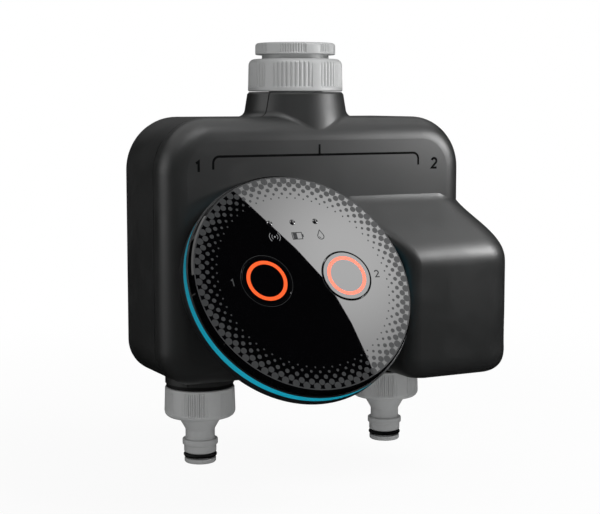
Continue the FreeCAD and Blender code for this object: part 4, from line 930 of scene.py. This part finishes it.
@dataclass(frozen=True)
class GripPanels:
    """Six sunk panels of upright ribs round a fitting; lengths in millimetres, angles in degrees."""

    radius: float
    depth: float
    low: float
    top: float
    ribs: int
    rib_angle: float
    panel_angle: float
    first: float = 0.0
    frame_depth: float = 0.0
    panel_pitch: float = 60.0
    panel_blend: float = 0.8
    rib_blend: float = 0.5
    crest_share: float = 0.32
    valley_power: float = 0.75
    end_fade: float = 0.5
    reach_in: float = 1.5

    def sink(self, turn: float) -> float:
        """Gives how deep the panels are at a turn.

        Args:
            turn: Degrees round the fitting.

        Returns:
            Depth below the fitting's side.
        """
        half = self.panel_pitch / 2
        off = abs((turn - self.first + half) % self.panel_pitch - half)
        edge = min(1.0, max(0.0, (self.panel_angle / 2 - off) / self.panel_blend))
        if not edge:
            return 0.0
        level = self.frame_depth * edge
        if off < self.rib_angle / 2:
            wave = abs(math.sin(math.pi * self.ribs * (off / self.rib_angle + 0.5)))
            crest = self.depth * self.crest_share
            rib = crest + (self.depth - crest) * (1.0 - wave ** self.valley_power)
            level = max(level, rib * min(1.0, (self.rib_angle / 2 - off) / self.rib_blend))
        return level

    def shape(self, turn: float, radius: float, z: float) -> float:
        """Gives the radius that the panels leave.

        Args:
            turn: Degrees round the fitting.
            radius: Radius without panels.
            z: Height.

        Returns:
            The new radius.
        """
        if radius < self.radius - self.depth - self.reach_in or not self.low < z < self.top:
            return radius
        fade = min(1.0, (z - self.low) / self.end_fade, (self.top - z) / self.end_fade)
        return radius + (min(radius, self.radius - self.sink(turn)) - radius) * fade


def rounded(corners: Sequence[Triple], steps: int = 6) -> list[Point]:
    """Outline with its corners rounded.

    Args:
        corners: Radius, height and rounding of each corner, in order.
        steps: Points of each rounding.

    Returns:
        Points of the closed outline.
    """
    made: list[Point] = []
    count = len(corners)
    for i, (r, z, bend) in enumerate(corners):
        here = Vector((r, z))
        if not bend:
            made.append((r, z))
            continue
        back = (Vector(corners[i - 1][:2]) - here).normalized()
        on = (Vector(corners[(i + 1) % count][:2]) - here).normalized()
        half = back.angle(on) / 2
        middle = here + (back + on).normalized() * (bend / math.sin(half))
        first = here + back * (bend / math.tan(half)) - middle
        last = here + on * (bend / math.tan(half)) - middle
        for step in range(steps + 1):
            share = step / steps
            ray = first.lerp(last, share).normalized() * bend
            made.append(tuple(middle + ray))
    return made


def refined(painted_gap_shade: Sequence[Point], pitch: float) -> list[Point]:
    """Outline with its long runs divided.

    Args:
        painted_gap_shade: Points of the closed outline.
        pitch: Longest run that stays whole.

    Returns:
        The points, with new ones on the long runs.
    """
    made: list[Point] = []
    for i, point in enumerate(painted_gap_shade):
        after = painted_gap_shade[(i + 1) % len(painted_gap_shade)]
        parts = max(1, math.ceil(math.dist(point, after) / pitch))
        for part in range(parts):
            share = part / parts
            made.append(tuple(a + (b - a) * share for a, b in zip(point, after)))
    return made


def turn_up(piece: MeshPiece, painted_gap_shade: Sequence[Point], x: float, sides: int, shape: Shape) -> None:
    """Turns a closed outline about an upright axis, its radius changed by a shape.

    Args:
        piece: Piece to add to.
        painted_gap_shade: Radius and height of each point.
        x: The axis.
        sides: Steps round the axis.
        shape: Gives the radius at a turn in degrees, radius and height.
    """
    points: list[Vector] = []
    for i in range(sides):
        degrees = 360.0 * i / sides
        for r, z in painted_gap_shade:
            across, deep = polar(shape(degrees, r, z), math.radians(degrees))
            points.append(Vector((x + across, deep, z)))
    piece.add(points, quads(sides, len(painted_gap_shade)))


@dataclass
class TapFittings:
    """The tap adapter and the union nut above the casing's neck."""

    flange_radius: float = 19.9
    flange_height: float = 5.8
    flange_round: float = 1.6
    flange_grip: float = 0.9
    grip_margin: float = 0.6
    adapter_foot: float = -15.3
    spigot_radius: float = 16.6
    bore: float = 9.5
    thread_radius: float = 12.06
    thread_depth: float = 9.0
    thread_swing: float = 0.9
    thread_end: float = 0.2
    washer_room: float = 12.4
    washer_foot: float = -11.0
    pitch: float = 1.814
    nut_radius: float = 23.6
    nut_taper: float = 0.4
    nut_top: float = -7.9
    nut_foot: float = -23.8
    nut_lip: float = -21.4
    nut_round: float = 3.0
    nut_grip: float = 1.0
    nut_grip_foot: float = 1.9
    nut_grip_top: float = 0.1
    nut_gap: float = 0.12
    tube_hole: float = 13.6
    sides: int = 720

    def build(self) -> None:
        """Makes both fittings."""
        self._adapter()
        self._nut()

    def _adapter(self) -> None:
        """Makes the adapter: ribbed flange, threaded mouth and plain spigot."""
        flange_foot = -self.flange_height
        grips = GripPanels(radius=self.flange_radius, depth=self.flange_grip,
                           low=flange_foot + self.grip_margin, top=-self.grip_margin, ribs=10,
                           rib_angle=38.0, panel_angle=38.8)
        piece = MeshPiece("adapter_fitting", "inlet_adapter", "fitting_grey", FITTING)
        painted_gap_shade = rounded([
            (self.thread_radius, 0.0, 0.5), (self.flange_radius, 0.0, self.flange_round),
            (self.flange_radius, flange_foot, 0.6), (self.spigot_radius, flange_foot, 0.0),
            (self.spigot_radius, self.adapter_foot, 0.5), (self.bore, self.adapter_foot, 0.0),
            (self.bore, self.washer_foot, 0.0), (self.washer_room, self.washer_foot, 0.0),
            (self.washer_room, -self.thread_depth, 0.0), (self.thread_radius, -self.thread_depth, 0.0),
        ])

        def shape(turn: float, radius: float, z: float) -> float:
            """Ribs outside, thread inside.

            Args:
                turn: Degrees round the adapter.
                radius: Radius without ribs and thread.
                z: Height.

            Returns:
                The new radius.
            """
            in_thread = self.thread_end - self.thread_depth < z < -self.grip_margin
            if in_thread and abs(radius - self.thread_radius) < 0.05:
                phase = (z / self.pitch + turn / 360.0) % 1.0
                return radius + self.thread_swing * (abs(phase - 0.5) - 0.25)
            return grips.shape(turn, radius, z)

        turn_up(piece, refined(painted_gap_shade, 0.45), 0.0, self.sides, shape)
        piece.finish_up("inlet_adapter")

    def _nut(self) -> None:
        """Makes the union nut with its ribbed panels."""
        grips = GripPanels(radius=self.nut_radius, depth=self.nut_grip, low=self.nut_foot + self.nut_grip_foot,
                           top=self.nut_top - self.nut_grip_top, ribs=9, rib_angle=48.4, panel_angle=49.4,
                           frame_depth=0.35)
        piece = MeshPiece("union_nut_fitting", "union_nut", "fitting_grey", FITTING)
        bore = self.spigot_radius + self.nut_gap
        painted_gap_shade = rounded([
            (bore, self.nut_top, 0.3), (self.nut_radius - self.nut_taper, self.nut_top, self.nut_round),
            (self.nut_radius, self.nut_foot, 0.7), (self.tube_hole, self.nut_foot, 0.0),
            (self.tube_hole, self.nut_lip, 0.0), (bore, self.nut_lip, 0.0),
        ])
        turn_up(piece, refined(painted_gap_shade, 0.6), 0.0, self.sides, grips.shape)
        piece.finish_up("union_nut")


@dataclass
class HoseConnector:
    """One outlet's hose connector: ribbed nut, cone, nipple with ridge and ring groove."""

    side: Side
    spacing: float = 105.6
    radius: float = 17.6
    taper: float = 0.5
    top: float = -167.8
    foot: float = -182.8
    rim_round: float = 3.0
    grip_depth: float = 1.2
    grip_foot: float = 2.2
    thread_bore: float = 13.32
    water_bore: float = 5.2
    floor: float = 2.4
    hub: float = 10.5
    hub_height: float = 0.9
    stem_radius: float = 7.25
    ridge_radius: float = 8.75
    body_radius: float = 8.0
    groove_radius: float = 6.2
    tip_radius: float = 7.8
    cone_height: float = 6.5
    stem_height: float = 4.8
    ridge_height: float = 3.0
    body_height: float = 3.6
    groove_height: float = 3.0
    tip_height: float = 2.4
    sides: int = 640

    def build(self) -> None:
        """Makes the connector in the place of its node."""
        hand = self.side.hand
        stem_top = self.foot - self.cone_height
        ridge_top = stem_top - self.stem_height
        ridge_low = ridge_top - self.ridge_height
        groove_top = ridge_low - self.body_height
        tip_top = groove_top - self.groove_height
        tip = tip_top - self.tip_height
        inside = self.foot + self.floor
        painted_gap_shade = rounded([
            (self.thread_bore, self.top, 0.0), (self.radius - self.taper, self.top, 0.8),
            (self.radius, self.foot, self.rim_round), (self.hub, self.foot, 0.4),
            (self.hub, self.foot - self.hub_height, 0.35), (self.stem_radius, stem_top, 2.4),
            (self.stem_radius, ridge_top, 0.5), (self.ridge_radius, ridge_top, 0.6),
            (self.ridge_radius, ridge_low, 0.6), (self.body_radius, ridge_low, 0.25),
            (self.body_radius, groove_top, 0.3), (self.groove_radius, groove_top, 0.0),
            (self.groove_radius, tip_top, 0.0), (self.tip_radius, tip_top, 0.3),
            (self.tip_radius, tip, 0.9), (self.water_bore, tip, 0.3),
            (self.water_bore, inside, 0.0), (self.thread_bore, inside, 0.0),
        ])
        grips = GripPanels(radius=self.radius, depth=self.grip_depth, low=self.foot + self.grip_foot,
                           top=self.top - self.grip_depth, ribs=10, rib_angle=37.0, panel_angle=45.0,
                           first=-1.0, frame_depth=0.5)
        piece = MeshPiece(f"{hand}_connector_fitting", f"{hand}_hose_connector", "connector_grey", CONNECTOR)
        turn_up(piece, refined(painted_gap_shade, 0.9), self.side.value * self.spacing / 2, self.sides, grips.shape)
        piece.finish_up(f"{hand}_hose_connector")


@dataclass
class PlungerSpring:
    """The coil spring in front of one valve's plunger, which shortens as the plunger is drawn."""

    side: Side
    turns: float = 3.5
    wire: float = 0.25
    draw: float = 1.6
    steps_per_turn: int = 24
    corners: int = 10

    def build(self) -> None:
        """Makes the spring where its node lies and ties it to the casing."""
        hand = self.side.hand
        low, high = (Vector(corner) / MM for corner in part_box(f"{hand}_plunger_spring"))
        reach = (high.x - low.x) / 2 - self.wire
        start, length = low.y + self.wire, high.y - low.y - 2 * self.wire
        x, z = (low.x + high.x) / 2, (low.z + high.z) / 2
        steps = int(self.turns * self.steps_per_turn)
        points: list[Vector] = []
        for i in range(steps + 1):
            turn = math.tau * i / self.steps_per_turn
            out = Vector((math.cos(turn), 0.0, math.sin(turn)))
            middle = Vector((x, start + length * i / steps, z)) + out * reach
            for corner in range(self.corners):
                side, deep = polar(self.wire, math.tau * corner / self.corners)
                points.append(middle + out * side + Vector((0.0, deep, 0.0)))
        faces = quads(steps + 1, self.corners, closed=False)
        end = range(self.corners)
        faces += [tuple(reversed(end)), tuple(steps * self.corners + j for j in end)]
        piece = MeshPiece(f"{hand}_spring_coil", "casing", "steel", STEEL)
        piece.add(points, faces)
        made = piece.finish_up(f"{hand}_plunger_spring")
        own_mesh(made)


@dataclass(frozen=True)
class SoftLamp:
    """A soft rectangular lamp: its place from the object's middle, its size in metres, its watts."""

    name: str
    offset: Triple
    size: Point
    watts: float


@dataclass(frozen=True)
class Card:
    """A bright card that faces the object: its middle, half its sides and its brightness."""

    name: str
    middle: Triple
    half_width: float
    half_height: float
    strength: float

    def corners(self, aim: Vector) -> list[Vector]:
        """Gives the card's corners.

        Args:
            aim: Point that the card faces.

        Returns:
            The corners.
        """
        place = Vector(self.middle)
        out = (place - aim).normalized()
        across = Vector((0.0, 0.0, 1.0)).cross(out).normalized()
        up = out.cross(across)
        signs = ((-1, -1), (1, -1), (1, 1), (-1, 1))
        return [place + across * self.half_width * a + up * self.half_height * b for a, b in signs]


@dataclass
class Studio:
    """Floor, light and the photograph's camera; lengths in metres."""

    eye: Triple = (-0.3178, -0.6274, -0.0277)
    right: Triple = (0.8905, -0.4549, 0.0)
    up: Triple = (0.0488, 0.0956, 0.9942)
    lens: float = 83.98
    sensor: float = 36.0
    shift: float = -0.011
    floor: float = -0.218
    floor_half: float = 6.0
    floor_grey: float = 0.9
    floor_white: float = 0.93
    floor_fade: Point = (0.2, 0.6)
    sky: float = 0.42
    lamp_aim: Triple = (0.0, -0.03, -0.1)
    lamps: tuple[SoftLamp, ...] = (
        SoftLamp("key", (0.48, -0.45, 0.62), (0.45, 0.45), 5.0),
        SoftLamp("fill", (-0.3, -0.75, 0.0), (0.5, 0.3), 1.3),
    )
    card_aim: Triple = (0.0, 0.0, -0.1)
    cards: tuple[Card, ...] = (
        Card("top_box", (0.75, -0.25, 1.0), 0.4, 0.26, 6.5),
        Card("near_box", (0.2, -0.165, -0.005), 0.055, 0.028, 29.0),
        Card("upper_box", (-0.06, -0.15, 0.18), 0.07, 0.04, 9.0),
        Card("left_box", (-1.25, 0.2, 0.1), 0.5, 0.4, 4.4),
    )
    glare: float = 4.6
    glare_middle: Triple = (0.03, 0.0, -0.02)
    glare_fade: Point = (0.02, 0.2)
    glare_edge: float = 0.42
    box_middle: Triple = (0.51967, -0.66836, 0.76861)
    box_across: Triple = (0.74485, 0.66724, 0.0)
    box_up: Triple = (-0.48876, 0.54561, 0.68075)
    box_out: Triple = (0.45422, -0.50706, 0.73251)
    box_edge: tuple[Point, ...] = (
        (-0.030, 0.260), (-0.0161, 0.1915), (-0.0105, 0.1721), (-0.0027, 0.145), (0.0078, 0.0852),
        (0.016, 0.0393), (0.0212, -0.0139), (0.0197, -0.0442), (0.0152, -0.0822), (0.0036, -0.1354),
        (-0.0054, -0.1684), (-0.02, -0.21), (0.26, -0.21), (0.26, 0.26),
    )
    flag_back: float = 0.05
    flag_corners: tuple[Point, ...] = ((-1.0, -0.85), (1.0, -0.85), (1.0, 0.75), (-1.0, 0.75))
    tent_radius: float = 1.9
    tent_height: float = 1.3
    tent_gap: float = 0.01
    tent_sides: int = 24
    floor_flag_lift: float = 0.004

    def build(self) -> None:
        """Sets up the camera, the floor, the lamps and the world."""
        self._camera()
        self._floor()
        self._world()
        for lamp in self.lamps:
            self._lamp(lamp)
        self._cards()
        self._tent()

    def _camera(self) -> None:
        """Makes the camera of the photograph."""
        data = bpy.data.cameras.new("photo_camera")
        data.lens = self.lens
        data.sensor_width = self.sensor
        data.sensor_fit = "HORIZONTAL"
        data.shift_y = self.shift
        data.clip_start = 0.01
        camera = placed("photo_camera", data)
        right, up = Vector(self.right), Vector(self.up)
        turn = Matrix((right, up, right.cross(up).normalized())).transposed()
        camera.matrix_world = Matrix.Translation(Vector(self.eye)) @ turn.to_4x4()
        bpy.context.scene.camera = camera

    @staticmethod
    def _seen(net: Net) -> bpy.types.NodeSocket:
        """Masks the rays that should meet a plain white ground.

        Args:
            net: Nodes of the ground or the world.

        Returns:
            The mask's socket.
        """
        path = net.node("ShaderNodeLightPath")
        glossy = net.math("MAXIMUM", path.outputs["Is Glossy Ray"], path.outputs["Is Transmission Ray"])
        return net.math("MAXIMUM", path.outputs["Is Camera Ray"], glossy)

    @staticmethod
    def _distance(net: Net, place: Vector) -> bpy.types.NodeSocket:
        """Measures how far the surface is from a point.

        Args:
            net: Nodes of the material.
            place: The point, in metres.

        Returns:
            The distance's socket.
        """
        here = net.node("ShaderNodeTexCoord")
        off = net.node("ShaderNodeVectorMath")
        off.operation = "DISTANCE"
        net.link(here.outputs["Object"], off.inputs[0])
        off.inputs[1].default_value = place
        return off.outputs["Value"]

    def _floor(self) -> None:
        """Makes the plain pale floor, which keeps a faint shadow."""
        half, grey_level = self.floor_half, self.floor_grey
        mesh = bpy.data.meshes.new("floor")
        corners = [(-half, -half), (half, -half), (half, half), (-half, half)]
        mesh.from_pydata([(x, y, self.floor) for x, y in corners], [], [(0, 1, 2, 3)])
        floor = placed("floor", mesh)
        made, net = blank_material("pale_floor")
        shader = made.node_tree.nodes["Principled BSDF"]
        shader.inputs["Base Color"].default_value = (grey_level, grey_level, grey_level, 1.0)
        shader.inputs["Roughness"].default_value = 0.9
        ground = net.node("ShaderNodeEmission", Strength=1.0)
        blend = net.node("ShaderNodeMixShader")
        share = net.ramp(self._distance(net, Vector()), *self.floor_fade, self.floor_white, 1.0)
        net.link(net.math("MULTIPLY", self._seen(net), share), blend.inputs[0])
        net.link(shader.outputs[0], blend.inputs[1])
        net.link(ground.outputs[0], blend.inputs[2])
        net.link(blend.outputs[0], made.node_tree.nodes["Material Output"].inputs["Surface"])
        mesh.materials.append(made)

    def _world(self) -> None:
        """Makes an even sky, white where it is seen."""
        world = bpy.data.worlds.new("studio")
        world.use_nodes = True
        bpy.context.scene.world = world
        net = Net(world.node_tree)
        back = world.node_tree.nodes["Background"]
        back.inputs["Color"].default_value = (1.0, 1.0, 1.0, 1.0)
        share = net.ramp(self._seen(net), 0.0, 1.0, self.sky, 1.0)
        net.link(share, back.inputs["Strength"])

    def _lamp(self, lamp: SoftLamp) -> None:
        """Hangs one soft lamp.

        Args:
            lamp: The lamp.
        """
        data = bpy.data.lights.new(lamp.name, "AREA")
        data.shape = "RECTANGLE"
        data.size, data.size_y = lamp.size
        data.energy = lamp.watts
        made = placed(lamp.name, data)
        made.location = Vector(self.lamp_aim) + Vector(lamp.offset)
        made.rotation_euler = (-Vector(lamp.offset)).to_track_quat("-Z", "Y").to_euler()
        made.visible_glossy = False

    def _card(self, name: str, corners: Sequence[Vector], strength: float) -> None:
        """Makes a studio card that only shiny surfaces see.

        Args:
            name: Name of the card.
            corners: Its corners.
            strength: Its brightness, 0 for a black flag.
        """
        mesh = bpy.data.meshes.new(name)
        mesh.from_pydata(corners, [], [tuple(range(len(corners)))])
        card = placed(name, mesh)
        made, net = blank_material(name)
        light = net.node("ShaderNodeEmission", Strength=strength)
        if strength:
            middle = sum(corners, Vector()) / len(corners) + Vector(self.glare_middle)
            fade = net.ramp(self._distance(net, middle), *self.glare_fade, strength, strength * self.glare_edge)
            net.link(fade, light.inputs["Strength"])
        net.link(light.outputs[0], made.node_tree.nodes["Material Output"].inputs["Surface"])
        mesh.materials.append(made)
        for sort in ("camera", "diffuse", "transmission", "volume_scatter", "shadow"):
            setattr(card, f"visible_{sort}", False)

    def _cards(self) -> None:
        """Hangs the softbox that the control face mirrors, the cards, and the flag behind the softbox."""
        across, up = Vector(self.box_across), Vector(self.box_up)
        middle = Vector(self.box_middle)
        self._card("softbox", [middle + across * a + up * b for a, b in self.box_edge], self.glare)
        for card in self.cards:
            self._card(card.name, card.corners(Vector(self.card_aim)), card.strength)
        far = middle + Vector(self.box_out) * self.flag_back
        self._card("black_flag", [far + across * a + up * b for a, b in self.flag_corners], 0.0)

    def _tent(self) -> None:
        """Stands low black flags round the set, so that satin sides stay dark and only tops shine."""
        ring = [polar(self.tent_radius, math.tau * i / self.tent_sides) for i in range(self.tent_sides)]
        low, high = self.floor + self.tent_gap, self.tent_height
        for i, (one, two) in enumerate(zip(ring, ring[1:] + ring[:1])):
            corners = [Vector((*place, z)) for place, z in ((one, low), (two, low), (two, high), (one, high))]
            self._card(f"side_flag_{i}", corners, 0.0)
        self._card("floor_flag", [Vector((*place, self.floor + self.floor_flag_lift)) for place in ring], 0.0)


def main() -> None:
    """Builds the dressed timer."""
    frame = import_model()
    Studio().build()
    dress_nodes(frame["nodes"])
    FacePrint().build()
    HousingBands().build()
    FrontPrint().build()
    TapFittings().build()
    for side in Side:
        HoseConnector(side).build()
        PlungerSpring(side).build()
    scene = bpy.context.scene
    scene.view_settings.view_transform = "Standard"


if __name__ == "__main__":
    main()
